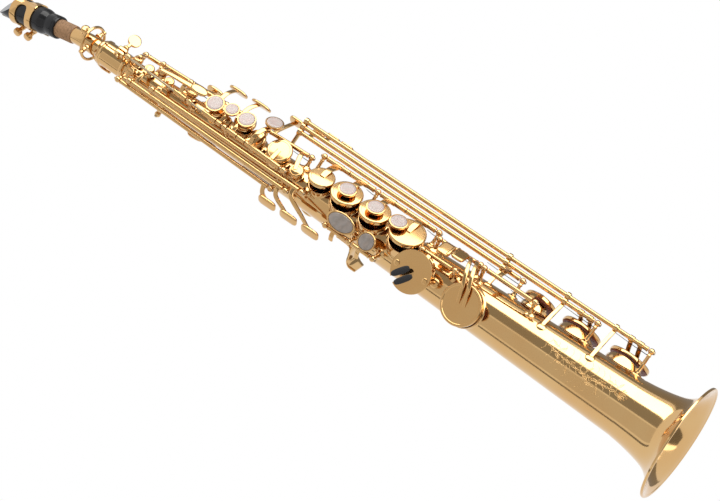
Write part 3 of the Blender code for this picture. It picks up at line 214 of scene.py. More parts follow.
# Neck and mouthpiece
RECEIVER_RADIUS = 9.9
RECEIVER_RIM = 0.7
RECEIVER_TOP_Z = BODY_TOP_Z + 20.5
RECEIVER_BOTTOM_Z = BODY_TOP_Z - 4.5
NECK_BEND_Z = RECEIVER_TOP_Z + 4.5
NECK_BEND_RADIUS = 107.0
NECK_LEAN = math.radians(14.0)
NECK_LOW_RADIUS = 7.6
NECK_HIGH_RADIUS = 6.4
NECK_WALL = 0.9
NECK_END = Vector((0.0, NECK_BEND_RADIUS * (1.0 - math.cos(NECK_LEAN)),
                   NECK_BEND_Z + NECK_BEND_RADIUS * math.sin(NECK_LEAN)))
NECK_UP = Vector((0.0, math.sin(NECK_LEAN), math.cos(NECK_LEAN)))
NECK_BACK = Vector((0.0, math.cos(NECK_LEAN), -math.sin(NECK_LEAN)))
CORK_RADIUS = 7.3
CORK_LENGTH = 34.0
MOUTHPIECE_START = 17.0
MOUTHPIECE_TIP = 82.9
MOUTHPIECE_RADIUS = 10.4
SHANK_RADIUS = 8.9
TABLE_DEPTH = 8.2
REED_START = 27.0
REED_VAMP = 57.0
BEAK_START = 58.0
LIGATURE_START = 40.0
LIGATURE_LENGTH = 23.0
CLAMP = Vector((0.0, -13.0, BODY_TOP_Z + 3.0))
OCTAVE_NECK_PIVOT = Vector((0.0, -2.0, NECK_BEND_Z + 8.0))
OCTAVE_PIP_Z = NECK_BEND_Z + 15.0
OCTAVE_PIP_REACH = 10.4


def on_neck(s, x=0.0, back=0.0):
    """A point on the straight end of the neck: s along it, x across, back towards the reed."""
    return NECK_END + NECK_UP * s + ACROSS * x + NECK_BACK * back


# Panel settings

def length(name, value, words):
    """A length for the panel, given in millimetres."""
    return bpy.props.FloatProperty(name=name, description=words, default=value * MM, min=0.0,
                                   unit="LENGTH", precision=5)


def count(name, value, words):
    """A number of facets for the panel."""
    return bpy.props.IntProperty(name=name, description=words, default=value, min=6)


def colour(name, value, words):
    """A colour for the panel."""
    return bpy.props.FloatVectorProperty(name=name, description=words, default=value, size=3,
                                         subtype="COLOR", min=0.0, max=1.0)


class SaxSizes(bpy.types.PropertyGroup):
    """Sizes of the stock that the body and the keys are made from."""
    tube_sides: count("Tube facets", 96, "Facets round the body tube and the bell")
    cup_sides: count("Cup facets", 48, "Facets round a large key cup")
    rod_sides: count("Rod facets", 18, "Facets round a hinge rod")
    chimney_rise: length("Chimney rise", 2.4, "Height of a tone hole's rim over the body")
    chimney_wall: length("Chimney wall", 1.0, "Thickness of a tone hole's rim")
    cup_overhang: length("Cup overhang", 1.2, "How far a cup reaches past its tone hole")
    cup_height: length("Cup height", 3.2, "Height of a key cup")
    pad_show: length("Pad edge", 1.0, "Height of the pad that shows under a cup")
    shaft_radius: length("Shaft radius", 1.7, "Radius of a solid key shaft")
    hinge_tube_radius: length("Hinge tube radius", 2.0, "Radius of a stack key's hinge tube")
    rod_radius: length("Rod radius", 1.0, "Radius of the steel stack rods")
    ball_radius: length("Post ball radius", 2.5, "Radius of the ball on a post")
    post_radius: length("Post radius", 1.35, "Radius of a post's stem")
    arm_width: length("Arm width", 3.6, "Width of a key arm")
    arm_thickness: length("Arm thickness", 1.7, "Thickness of a key arm")
    touch_thickness: length("Touch thickness", 2.2, "Thickness of a finger plate")
    pearl_radius: length("Pearl radius", 6.2, "Radius of a finger pearl")
    spring_radius: length("Spring radius", 0.3, "Radius of a needle spring")
    engraving_width: length("Engraving width", 0.5, "Width of the widest engraved stroke")


class SaxColours(bpy.types.PropertyGroup):
    """Colours of the finishes."""
    body: colour("Body lacquer", (0.66, 0.43, 0.19), "Gold lacquer on body, bell and neck")
    # The keys have the same gold lacquer as the body, painted a little darker and browner as painted shade
    # of the keywork
    keys: colour("Key lacquer", (0.64, 0.40, 0.165), "Gold lacquer on the keys")
    steel: colour("Steel", (0.46, 0.36, 0.23), "Ground steel of the stack rods")
    spring: colour("Spring", (0.035, 0.045, 0.09), "Blued steel of the needle springs")
    ebonite: colour("Ebonite", (0.012, 0.012, 0.014), "Hard rubber of mouthpiece and thumb rest")
    cane: colour("Cane", (0.66, 0.48, 0.24), "Reed cane")
    cork: colour("Cork", (0.42, 0.23, 0.11), "Cork on the neck")
    pearl: colour("Pearl", (0.90, 0.77, 0.70), "Finger pearls")
    # Painted shade: the high lever pearls are the pearl colour darkened to grey, as if they sat in shadow
    grey_pearl: colour("Pearl in painted shade", (0.34, 0.29, 0.25), "Pearls of the two high levers")
    leather: colour("Pad leather", (0.20, 0.050, 0.026), "Leather of the key pads")
    felt: colour("Felt", (0.012, 0.012, 0.013), "Black felt on the key guard")
    floor: colour("Floor", (0.93, 0.93, 0.92), "Pale studio floor")


def stock(name):
    """A size from the panel in millimetres."""
    return getattr(bpy.context.scene.sax_sizes, name) / MM


def sides(name):
    """A number of facets from the panel."""
    return getattr(bpy.context.scene.sax_sizes, name)


# Shader terms: an expression on terms adds the nodes that work it out

class Term:
    """A socket in a node tree; arithmetic on it adds Math nodes."""

    def __init__(self, nodes, socket):
        self.nodes = nodes
        self.socket = socket

    def math(self, operation, first, second):
        """Add a Math node on two terms or numbers."""
        return self.nodes.node("ShaderNodeMath", {"operation": operation}, {0: first, 1: second})

    def __add__(self, other):
        return self.math("ADD", self, other)

    def __radd__(self, other):
        return self.math("ADD", other, self)

    def __sub__(self, other):
        return self.math("SUBTRACT", self, other)

    def __rsub__(self, other):
        return self.math("SUBTRACT", other, self)

    def __mul__(self, other):
        return self.math("MULTIPLY", self, other)

    def __rmul__(self, other):
        return self.math("MULTIPLY", other, self)


class Nodes:
    """A node tree that is written as expressions."""

    def __init__(self, tree):
        self.tree = tree

    def node(self, kind, settings=None, sockets=None, output=0):
        """Add one node: its settings first, then the values or links of its sockets."""
        made = self.tree.nodes.new(kind)
        for name, value in (settings or {}).items():
            if name == "stops":
                ramp = made.color_ramp.elements
                while len(ramp) < len(value):
                    ramp.new(0.5)
                for stop, (position, shade) in zip(ramp, value):
                    stop.position = position
                    stop.color = (*shade, 1.0)
            else:
                setattr(made, name, value)
        for key, value in (sockets or {}).items():
            if isinstance(value, Term):
                self.tree.links.new(value.socket, made.inputs[key])
            else:
                made.inputs[key].default_value = value
        return Term(self, made.outputs[output])

    def link(self, term, node, socket):
        """Link a term to a socket of a node that the tree starts with."""
        self.tree.links.new(term.socket, self.tree.nodes[node].inputs[socket])


class Finish(Nodes):
    """A material: its shader and what feeds it."""

    def __init__(self, name, **fixed):
        self.material = bpy.data.materials.new(name)
        self.material.use_nodes = True
        super().__init__(self.material.node_tree)
        self.shader = self.tree.nodes["Principled BSDF"]
        for socket, value in fixed.items():
            self.shader.inputs[socket.replace("_", " ")].default_value = value

    def feed(self, name, term):
        """Link a term to a socket of the shader."""
        self.link(term, "Principled BSDF", name)

    def where(self):
        """Place on the piece, in metres."""
        return self.node("ShaderNodeTexCoord", output="Object")

    def stretched(self, scale):
        """Place on the piece with its axes scaled."""
        return self.node("ShaderNodeMapping", None, {"Vector": self.where(), "Scale": scale})

    def noise(self, scale, detail=3.0, place=None, distortion=0.0):
        """Soft noise between 0 and 1."""
        return self.node("ShaderNodeTexNoise", None,
                         {"Vector": place or self.where(), "Scale": scale, "Detail": detail,
                          "Distortion": distortion})

    def ramp(self, term, low, high):
        """A term spread from 0 to 1 between two levels."""
        return self.node("ShaderNodeMapRange", {"interpolation_type": "SMOOTHSTEP"},
                         {"Value": term, "From Min": low, "From Max": high})

    def blend(self, factor, first, second):
        """A colour between two colours."""
        shades = {}
        for key, shade in ((6, first), (7, second)):
            shades[key] = shade if isinstance(shade, Term) else (*shade, 1.0)
        return self.node("ShaderNodeMix", {"data_type": "RGBA"}, {0: factor, **shades}, output=2)

    def bump(self, height, strength, distance):
        """Feed a fine relief to the shader."""
        relief = self.node("ShaderNodeBump", None,
                           {"Height": height, "Strength": strength, "Distance": distance * MM})
        self.feed("Normal", relief)


def shaded(shade, by):
    """A colour made lighter or darker."""
    return tuple(min(1.0, max(0.0, channel * by)) for channel in shade)


def lacquer(name, shade, warmth):
    """Clear lacquer over polished brass, with faint clouding and fine wiping marks."""
    finish = Finish(name, Metallic=1.0, Coat_Weight=0.35, Coat_Roughness=0.04)
    clouds = finish.ramp(finish.noise(26.0, 3.0), 0.3, 0.72)
    fine = finish.noise(420.0, 2.0)
    wiped = finish.noise(60.0, 4.0, finish.stretched((9.0, 9.0, 1.0)))
    warm = (shade[0] * warmth, shade[1] * 0.86, shade[2] * 0.74)
    tone = finish.blend(clouds * 0.55 + fine * 0.12, shade, warm)
    finish.feed("Base Color", tone)
    finish.feed("Roughness", 0.055 + 0.06 * clouds + 0.05 * wiped)
    finish.bump(fine + wiped * 0.5, 0.05, 0.02)
    return finish.material


def engraved(name, shade):
    """Cut strokes: raw bright brass with tool marks."""
    finish = Finish(name, Metallic=1.0)
    marks = finish.noise(1400.0, 2.0)
    finish.feed("Base Color", finish.blend(marks, shaded(shade, 0.62), shaded(shade, 1.25)))
    finish.feed("Roughness", 0.32 + 0.25 * marks)
    finish.bump(marks, 0.3, 0.05)
    return finish.material


def ground_steel(name, shade, low):
    """Steel with fine marks along its length."""
    finish = Finish(name, Metallic=1.0)
    lines = finish.noise(300.0, 3.0, finish.stretched((6.0, 6.0, 0.6)))
    finish.feed("Base Color", finish.blend(lines, shaded(shade, 0.8), shaded(shade, 1.15)))
    finish.feed("Roughness", low + 0.16 * lines)
    finish.bump(lines, 0.12, 0.03)
    return finish.material


def hard_rubber(name, shade):
    """Polished black hard rubber with faint swirls."""
    finish = Finish(name, Specular_IOR_Level=0.28)
    swirl = finish.noise(90.0, 4.0, distortion=1.4)
    fine = finish.noise(900.0, 2.0)
    finish.feed("Base Color", finish.blend(swirl, shaded(shade, 0.7), shaded(shade, 1.8)))
    finish.feed("Roughness", 0.12 + 0.1 * swirl)
    finish.bump(fine, 0.04, 0.02)
    return finish.material


def cane_grain(name, shade):
    """Cut cane with fibres along the reed."""
    finish = Finish(name)
    fibre = finish.noise(260.0, 4.0, finish.stretched((5.0, 5.0, 0.35)))
    flecks = finish.ramp(finish.noise(700.0, 2.0, finish.stretched((2.0, 2.0, 0.4))), 0.55, 0.75)
    tone = finish.blend(fibre, shaded(shade, 0.72), shaded(shade, 1.2))
    finish.feed("Base Color", finish.blend(flecks * 0.5, tone, shaded(shade, 0.45)))
    finish.feed("Roughness", 0.5 + 0.2 * fibre)
    finish.bump(fibre, 0.35, 0.08)
    return finish.material


def sheet_cork(name, shade):
    """Sanded cork with dark pores and pale grains."""
    finish = Finish(name)
    grains = finish.node("ShaderNodeTexVoronoi", None, {"Vector": finish.where(), "Scale": 620.0})
    pores = finish.ramp(finish.noise(480.0, 4.0, distortion=0.8), 0.56, 0.72)
    tone = finish.blend(grains, shaded(shade, 1.22), shaded(shade, 0.78))
    finish.feed("Base Color", finish.blend(pores * 0.8, tone, shaded(shade, 0.3)))
    finish.feed("Roughness", 0.7 + 0.2 * grains)
    finish.bump(grains - pores * 0.8, 0.4, 0.12)
    return finish.material


def mother_of_pearl(name, shade, rosy, cool):
    """Layered shell with soft rosy and cool clouds under a clear polish."""
    finish = Finish(name, Specular_IOR_Level=0.3)
    layers = finish.noise(150.0, 4.0, distortion=2.2)
    bands = finish.node("ShaderNodeTexWave", {"bands_direction": "DIAGONAL"},
                        {"Vector": finish.where(), "Scale": 90.0, "Distortion": 7.0, "Detail": 2.0})
    tone = finish.blend(finish.ramp(layers, 0.3, 0.7), shade, rosy)
    finish.feed("Base Color", finish.blend(bands * 0.35, tone, cool))
    finish.feed("Roughness", 0.16 + 0.14 * layers)
    finish.bump(layers, 0.05, 0.03)
    return finish.material


def pad_leather(name, shade):
    """Thin tanned leather with pores and creases."""
    finish = Finish(name)
    pores = finish.node("ShaderNodeTexVoronoi", {"feature": "DISTANCE_TO_EDGE"},
                        {"Vector": finish.where(), "Scale": 900.0})
    clouds = finish.noise(160.0, 4.0)
    finish.feed("Base Color", finish.blend(clouds, shaded(shade, 0.6), shaded(shade, 1.7)))
    finish.feed("Roughness", 0.42 + 0.25 * clouds)
    finish.bump(pores + clouds * 0.5, 0.3, 0.06)
    return finish.material


def pressed_felt(name, shade):
    """Dense felt with a short matted nap."""
    finish = Finish(name, Sheen_Weight=0.25)
    nap = finish.noise(1100.0, 4.0, distortion=1.0)
    finish.feed("Base Color", finish.blend(nap, shaded(shade, 0.6), shaded(shade, 2.4)))
    finish.feed("Roughness", 0.86 + 0.1 * nap)
    finish.bump(nap, 0.6, 0.15)
    return finish.material


FINISHES = {}


def make_finishes():
    """Make every finish once from the colours on the panel."""
    shades = bpy.context.scene.sax_colours
    FINISHES.update({
        "body": lacquer("body_lacquer", tuple(shades.body), 0.98),
        # The key lacquer's darker, browner colour is partly painted shade of the keywork
        "keys": lacquer("key_lacquer", tuple(shades.keys), 0.97),
        "engraving": engraved("engraved_brass", tuple(shades.body)),
        "steel": ground_steel("ground_steel", tuple(shades.steel), 0.2),
        "spring": ground_steel("blued_steel", tuple(shades.spring), 0.22),
        "ebonite": hard_rubber("ebonite", tuple(shades.ebonite)),
        "cane": cane_grain("cane", tuple(shades.cane)),
        "cork": sheet_cork("cork", tuple(shades.cork)),
        "pearl": mother_of_pearl("pearl", tuple(shades.pearl), (0.92, 0.70, 0.64),
                                 (0.86, 0.80, 0.75)),
        # Painted shade: the high lever pearls also get darker rosy and cool clouds
        "grey_pearl": mother_of_pearl("grey_pearl", tuple(shades.grey_pearl), (0.43, 0.35, 0.30),
                                      (0.50, 0.46, 0.43)),
        "leather": pad_leather("pad_leather", tuple(shades.leather)),
        "felt": pressed_felt("black_felt", tuple(shades.felt)),
    })


# Shells: a vertex list and a face list, closed on itself

def loft(rings, loop=False):
    """Skin a row of rings with equal counts; the ends are capped unless it is a loop."""
    size = len(rings[0])
    verts = [point for ring in rings for point in ring]
    faces = []
    for i in range(len(rings) if loop else len(rings) - 1):
        a = i * size
        b = (i + 1) % len(rings) * size
        for j in range(size):
            k = (j + 1) % size
            faces.append((a + j, a + k, b + k, b + j))
    if not loop:
        faces.append(tuple(range(size)))
        faces.append(tuple(range(len(verts) - size, len(verts))))
    return verts, faces


def basis(axis):
    """Two unit vectors square to an axis and to each other."""
    axis = axis.normalized()
    helper = UP if abs(axis.z) < 0.9 else Vector((0.0, -1.0, 0.0))
    first = helper.cross(axis).normalized()
    return first, axis.cross(first)


def circle(facets, shift=0.0):
    """Cosine and sine of equal steps round a circle."""
    angles = [2.0 * math.pi * (i + shift) / facets for i in range(facets)]
    return [(math.cos(angle), math.sin(angle)) for angle in angles]


def rounded_box(facets, power):
    """An outline from -1 to 1 both ways, an oval at a power of 1 and squarer below it."""
    return [(math.copysign(abs(c) ** power, c), math.copysign(abs(s) ** power, s))
            for c, s in circle(facets, 0.5)]


def turned(profile, origin, axis, facets, loop=False):
    """Revolve a profile of (radius, distance along the axis)."""
    axis = axis.normalized()
    first, second = basis(axis)
    spokes = [first * c + second * s for c, s in circle(facets, 0.5)]
    rings = []
    for radius, along in profile:
        rings.append([origin + axis * along + spoke * radius for spoke in spokes])
    return loft(rings, loop)


def ball(centre, radius, facets=16):
    """A ball with small flats at its poles."""
    steps = facets // 2
    profile = []
    for i in range(1, steps):
        angle = math.pi * i / steps
        profile.append((radius * math.sin(angle), -radius * math.cos(angle)))
    return turned(profile, centre, UP, facets)


def eased(points, values, steps=5):
    """A smooth curve through points, with a value carried along it."""
    path, carried = [], []
    last = len(points) - 1
    for i in range(last):
        p0, p1, p2, p3 = points[max(i - 1, 0)], points[i], points[i + 1], points[min(i + 2, last)]
        for k in range(steps):
            t = k / steps
            square = 2.0 * p0 - 5.0 * p1 + 4.0 * p2 - p3
            cube = 3.0 * p1 - p0 - 3.0 * p2 + p3
            path.append(0.5 * (2.0 * p1 + (p2 - p0) * t + square * t ** 2 + cube * t ** 3))
            carried.append(values[i] + (values[i + 1] - values[i]) * t)
    return path + [points[-1]], carried + [values[-1]]


def bar(points, widths, thickness, across, steps=5, corner=0.55, facets=12):
    """A flat bar with rounded edges, swept along a smooth curve through points."""
    path, wide = eased(points, widths, steps)
    rings = []
    last = len(path) - 1
    for i, point in enumerate(path):
        along = (path[min(i + 1, last)] - path[max(i - 1, 0)]).normalized()
        side = (across - along * across.dot(along)).normalized()
        face = along.cross(side)
        rings.append([point + side * (u * wide[i] / 2.0) + face * (v * thickness / 2.0)
                      for u, v in rounded_box(facets, corner)])
    return loft(rings)


def plate(centre, face, along, long, wide, thickness, power=0.6, crown=0.25, facets=36):
    """A finger plate with a rounded outline, soft edges and a crowned face."""
    face = face.normalized()
    along = (along - face * along.dot(face)).normalized()
    across = face.cross(along)
    half = thickness / 2.0
    rings = []
    for scale, height in ((0.86, -half), (0.96, -0.85 * half), (1.0, -0.35 * half), (1.0, 0.25 * half),
                          (0.975, 0.7 * half), (0.92, 0.95 * half), (0.7, half + 0.6 * crown),
                          (0.35, half + crown)):
        rings.append([centre + along * (u * long / 2.0 * scale) + across * (v * wide / 2.0 * scale)
                      + face * height for u, v in rounded_box(facets, power)])
    return loft(rings)


def wire(points, radius, closed=False, facets=8, taper=1.0):
    """A round wire along points, drawn down to a share of its radius."""
    rings = []
    size = len(points)
    side = None
    for i, point in enumerate(points):
        if closed:
            along = points[(i + 1) % size] - points[i - 1]
        else:
            along = points[min(i + 1, size - 1)] - points[max(i - 1, 0)]
        along.normalize()
        if side is None:
            side = basis(along)[0]
        side = (side - along * side.dot(along)).normalized()
        other = along.cross(side)
        thick = radius * (1.0 + (taper - 1.0) * i / max(size - 1, 1))
        rings.append([point + (side * c + other * s) * thick for c, s in circle(facets)])
    return loft(rings, loop=closed)


def saddle(turn, z, stops, facets, loop=False):
    """Rings of (radius, rise) that follow the body's skin round a point on it."""
    rings = []
    for radius, rise in stops:
        ring = []
        for c, s in circle(facets):
            height = z + radius * s
            reach = tube_radius(height) + rise
            lean = math.asin(max(-1.0, min(1.0, radius * c / reach)))
            ring.append(place(reach, turn + math.degrees(lean), height))
        rings.append(ring)
    return loft(rings, loop)


def slotted_head(centre, axis, radius, height):
    """The two halves of a screw head with a driver slot between them."""
    first, second = basis(axis)
    halves = []
    for sign in (1.0, -1.0):
        rings = []
        for scale, level in ((1.0, 0.0), (1.0, 0.7 * height), (0.8, height)):
            ring = []
            for k in range(9):
                angle = 0.2 + (math.pi - 0.4) * k / 8
                spoke = first * math.cos(angle) + second * (sign * math.sin(angle))
                ring.append(centre + axis * level + spoke * radius * scale)
            rings.append(ring)
        halves.append(loft(rings))
    return halves


class Piece:
    """Shells in millimetres that become one object on a body, with a slot for each finish."""

    def __init__(self, name, body):
        self.name = name
        self.body = body
        self.verts = []
        self.faces = []
        self.owners = []
        self.finishes = []

    def add(self, shell, finish):
        """Take a shell in, made of one finish."""
        if finish not in self.finishes:
            self.finishes.append(finish)
        start = len(self.verts)
        verts, faces = shell
        self.verts.extend(verts)
        self.faces.extend(tuple(i + start for i in face) for face in faces)
        self.owners.extend([self.finishes.index(finish)] * len(faces))

    def add_screw(self, centre, axis, radius, height):
        """Take in a steel screw head with a driver slot."""
        for half in slotted_head(centre, axis, radius, height):
            self.add(half, "steel")

    def mesh(self, swing=None):
        """The shells as one mesh in metres, swung into place, with their faces turned outward."""
        mesh = bpy.data.meshes.new(self.name)
        places = [point * MM for point in self.verts]
        if swing:
            places = [swing @ point for point in places]
        mesh.from_pydata(places, [], self.faces)
        mesh.polygons.foreach_set("material_index", self.owners)
        work = bmesh.new()
        work.from_mesh(mesh)
        bmesh.ops.recalc_face_normals(work, faces=work.faces)
        work.to_mesh(mesh)
        work.free()
        return mesh

    def make(self, replaces=(), swing=None, sharp=40.0):
        """Turn the shells into a smooth object that rides on its body."""
        if not FINISHES:
            make_finishes()
        mesh = self.mesh(swing)
        mesh.shade_smooth()
        mesh.set_sharp_from_angle(angle=math.radians(sharp))
        for finish in self.finishes:
            mesh.materials.append(FINISHES[finish])
        made = bpy.data.objects.new(self.name, mesh)
        bpy.context.scene.collection.objects.link(made)
        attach(made, self.body)
        if replaces:
            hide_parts(*replaces)
        return made


# Body, bell and engraving

BORE_INSIDE = 3.0
BORE_OUTSIDE = 4.0
BORE_FACETS = 40
ON_SKIN = 0.02
ENGRAVING_TURN = 36.0
ENGRAVING_Z = 84.0


def cut_holes(tube):
    """Cut the tone holes through the tube and keep its skin shaded as a true cone."""
    bores = Piece("hole_cutter", "instrument")
    for z, turn, radius in HOLES.values():
        bore = radius - stock("cup_overhang") - stock("chimney_wall")
        start = math.sqrt(tube_radius(z) ** 2 - bore ** 2) - BORE_INSIDE
        end = tube_radius(z) + BORE_OUTSIDE
        bores.add(turned([(bore, start), (bore, end)], UP * z, outward(turn), BORE_FACETS), "body")
    cutter = bpy.data.objects.new("hole_cutter", bores.mesh())
    bpy.context.scene.collection.objects.link(cutter)
    step = tube.modifiers.new("holes", "BOOLEAN")
    step.operation = "DIFFERENCE"
    step.solver = "EXACT"
    step.object = cutter
    bpy.context.view_layer.update()
    solved = tube.evaluated_get(bpy.context.evaluated_depsgraph_get())
    drilled = bpy.data.meshes.new_from_object(solved)
    tube.modifiers.remove(step)
    tube.data = drilled
    bpy.data.objects.remove(cutter, do_unlink=True)
    normals = [Vector((0.0, 0.0, 0.0))] * len(drilled.loops)
    for face in drilled.polygons:
        corners = [drilled.vertices[i].co / MM for i in face.vertices]
        if all(abs(math.hypot(c.x, c.y) - tube_radius(c.z)) < ON_SKIN for c in corners):
            for loop, corner in zip(face.loop_indices, corners):
                rise = TAPER * math.hypot(corner.x, corner.y)
                normals[loop] = Vector((corner.x, corner.y, rise)).normalized()
    drilled.normals_split_custom_set(normals)


def post_balls():
    """Every ball post: its centre and the way its screw faces."""
    balls = []
    for line, heights in ((UPPER, UPPER_POSTS), (LOWER, LOWER_POSTS)):
        for z in heights:
            way = line.axis if z == heights[-1] else line.axis * -1.0
            balls.append((line.point(z), way, z in (heights[0], heights[-1])))
    for name, line in LINES.items():
        balls.append((line.low, line.axis * -1.0, True))
        if name not in LONG_ROD_BOTTOMS and name != "high_g":
            balls.append((line.high, line.axis, True))
    for side in (-1.0, 1.0):
        balls.append((OCTAVE_PIVOT + ACROSS * (side * OCTAVE_HALF_SPAN), ACROSS * side, True))
    return balls


def add_post(piece, centre, way, screw):
    """A post with a flange on the body, a waisted stem, a ball and its pivot screw."""
    turn = turn_of(centre)
    reach = math.hypot(centre.x, centre.y)
    skin = tube_radius(centre.z)
    stem = stock("post_radius")
    head = stock("ball_radius")
    spread = min(4.4, 0.36 * skin)
    piece.add(saddle(turn, centre.z, [(spread, -0.6), (spread, 0.3), (spread - 0.35, 0.7),
                                      (0.62 * spread, 1.05), (1.5 * stem, 1.9)], 20), "body")
    profile = [(1.55 * stem, skin + 0.6), (1.5 * stem, skin + 1.9), (1.15 * stem, skin + 3.2),
               (stem, reach - head - 1.7), (1.3 * stem, reach - head - 1.1),
               (1.3 * stem, reach - head - 0.6), (stem, reach - head - 0.1), (stem, reach)]
    piece.add(turned(profile, UP * centre.z, outward(turn), 16), "body")
    piece.add(ball(centre, head, 18), "body")
    if screw:
        piece.add_screw(centre + way * (head - 0.35), way, 1.25, 0.75)


def add_stay(piece, z, foot_turn, first):
    """A bracket from the body to the long rods, with an eye round each rod that it holds."""
    inner = long_rod_radius(first) - stock("ball_radius")
    points = [above(-0.4, foot_turn, z), place(inner, LONG_ROD_TURN, z)]
    if foot_turn != LONG_ROD_TURN:
        middle = points[0].lerp(points[1], 0.5) + outward((foot_turn + LONG_ROD_TURN) / 2.0) * 0.8
        points.insert(1, middle)
    piece.add(bar(points, [3.0] * len(points), 2.6, UP), "body")
    shaft = stock("shaft_radius")
    eye = [(shaft + 0.35, -1.5), (shaft + 1.15, -1.5), (shaft + 1.4, 0.0), (shaft + 1.15, 1.5),
           (shaft + 0.35, 1.5)]
    for order in range(first, len(LONG_ROD_BOTTOMS)):
        centre = place(long_rod_radius(order), LONG_ROD_TURN, z)
        piece.add(turned(eye, centre, UP, 22, loop=True), "body")
    piece.add(saddle(foot_turn, z, [(3.8, -0.6), (3.8, 0.25), (3.3, 0.65), (1.6, 1.1)], 20), "body")


class SAX_OT_body(bpy.types.Operator):
    """Body tube with its drawn tone holes, posts and rod stays"""
    bl_idname = "sax.body"
    bl_label = "Body"

    def execute(self, context):
        low, high = BODY_BOTTOM_Z - 0.25, BODY_TOP_Z
        steps = 30
        levels = [low + (high - low) * i / steps for i in range(steps + 1)]
        wall = [(tube_radius(z), z) for z in levels]
        wall += [(tube_radius(z) - BODY_WALL, z) for z in reversed(levels)]
        tube = Piece("body_tube_skin", "instrument")
        tube.add(turned(wall, Vector(), UP, sides("tube_sides"), loop=True), "body")
        cut_holes(tube.make(["body_tube"]))
        chimneys = Piece("tone_hole_rims", "instrument")
        for z, turn, radius in HOLES.values():
            outer_r = radius - stock("cup_overhang")
            inner_r = outer_r - stock("chimney_wall")
            seat = tube_radius(z) + stock("chimney_rise")
            root = math.sqrt(tube_radius(z) ** 2 - outer_r ** 2) - 0.7
            wall = [(outer_r, root), (outer_r, seat - 0.4), (outer_r - 0.15, seat - 0.1),
                    (outer_r - 0.5, seat), (inner_r + 0.15, seat - 0.1), (inner_r, seat - 0.4),
                    (inner_r, root)]
            round_count = max(28, int(radius * 3.2))
            chimneys.add(turned(wall, UP * z, outward(turn), round_count, loop=True), "body")
            skirt = [(outer_r + 1.1, -0.4), (outer_r + 1.1, 0.03), (outer_r + 0.5, 0.2),
                     (outer_r + 0.15, 0.6), (outer_r - 0.4, 0.6), (outer_r - 0.4, -0.4)]
            chimneys.add(saddle(turn, z, skirt, round_count, loop=True), "body")
        chimneys.make()
        posts = Piece("posts", "instrument")
        for centre, way, screw in post_balls():
            add_post(posts, centre, way, screw)
        for z, (foot_turn, first) in STAYS.items():
            add_stay(posts, z, foot_turn, first)
        posts.make()
        return {"FINISHED"}


def bell_profile():
    """Outer and inner curves of the bell from its joint to the rim."""
    throat = BODY_BOTTOM_RADIUS + 0.2
    flare = BELL_RIM_RADIUS - throat
    joint = BODY_BOTTOM_Z - GAP
    heights = (1.0, 0.8, 0.55, 0.32, 0.18, 0.085, 0.045, 0.03)
    shares = (0.0, 0.045, 0.13, 0.25, 0.42, 0.64, 0.79, 0.9)
    knots = [Vector((throat + flare * share, 0.0, joint * height))
             for share, height in zip(shares, heights)]
    curve = eased(knots, [0.0] * len(knots), 6)[0]
    outer = [(knot.x, knot.z) for knot in curve]
    roll = ((0.55, 2.05), (0.1, 1.75), (0.0, 1.15), (0.12, 0.5), (0.6, 0.08), (1.3, 0.0), (2.0, 0.12),
            (2.7, 0.45))
    rim = [(BELL_RIM_RADIUS - inset, height) for inset, height in roll]
    inner = []
    for radius, height in reversed(outer):
        lean = min(1.0, (radius - throat) / flare) ** 0.8
        inner.append((radius - BODY_WALL * (1.0 - lean), max(height - BODY_WALL * lean, 0.5)))
    return outer + rim + inner[2:]


class SAX_OT_bell(bpy.types.Operator):
    """Flared bell with a rolled rim"""
    bl_idname = "sax.bell"
    bl_label = "Bell"

    def execute(self, context):
        bell = Piece("bell_flare", "instrument")
        bell.add(turned(bell_profile(), Vector(), UP, sides("tube_sides") + 32, loop=True), "body")
        bell.make(["bell"])
        return {"FINISHED"}


def stroke(piece, points, width):
    """One engraved stroke: a low ridge on the body, thick in the middle and fine at its ends."""
    rings = []
    last = len(points) - 1
    radius = tube_radius(ENGRAVING_Z)
    for i, point in enumerate(points):
        along = (points[min(i + 1, last)] - points[max(i - 1, 0)]).normalized()
        across = Vector((-along.y, along.x))
        half = width * (0.12 + 0.88 * abs(math.sin(math.pi * i / last)) ** 0.7) / 2.0
        ring = []
        for offset, rise in ((-half, -0.05), (0.0, 0.06), (half, -0.05)):
            spot = point + across * offset
            turn = ENGRAVING_TURN + math.degrees(spot.x / radius)
            ring.append(above(rise, turn, ENGRAVING_Z + spot.y))
        rings.append(ring)
    piece.add(loft(rings), "engraving")


def curl(start, heading, bend, growth, reach, steps=16):
    """Points of a curve that bends as it goes; growth tightens it into a scroll."""
    points = [start]
    angle = heading
    for i in range(steps):
        step = reach / steps
        angle += bend * (1.0 + growth * i / steps) / steps
        points.append(points[-1] + Vector((math.cos(angle), math.sin(angle))) * step)
    return points


def heading_at(points, i):
    """Direction of a row of points at one of them."""
    way = points[i + 1] - points[i]
    return math.atan2(way.y, way.x)


def add_leaf(piece, start, heading, reach, width):
    """A pointed leaf with a midrib and side veins."""
    for side in (-1.0, 1.0):
        stroke(piece, curl(start, heading + 0.6 * side, -1.3 * side, 0.0, reach, 12), width)
    stroke(piece, curl(start, heading, 0.12, 0.0, 0.9 * reach, 8), 0.7 * width)
    along = Vector((math.cos(heading), math.sin(heading)))
    for share in (0.3, 0.5, 0.68):
        root = start + along * (reach * share)
        for side in (-1.0, 1.0):
            vein = curl(root, heading + 0.75 * side, -0.3 * side, 0.0, 0.17 * reach, 4)
            stroke(piece, vein, 0.5 * width)


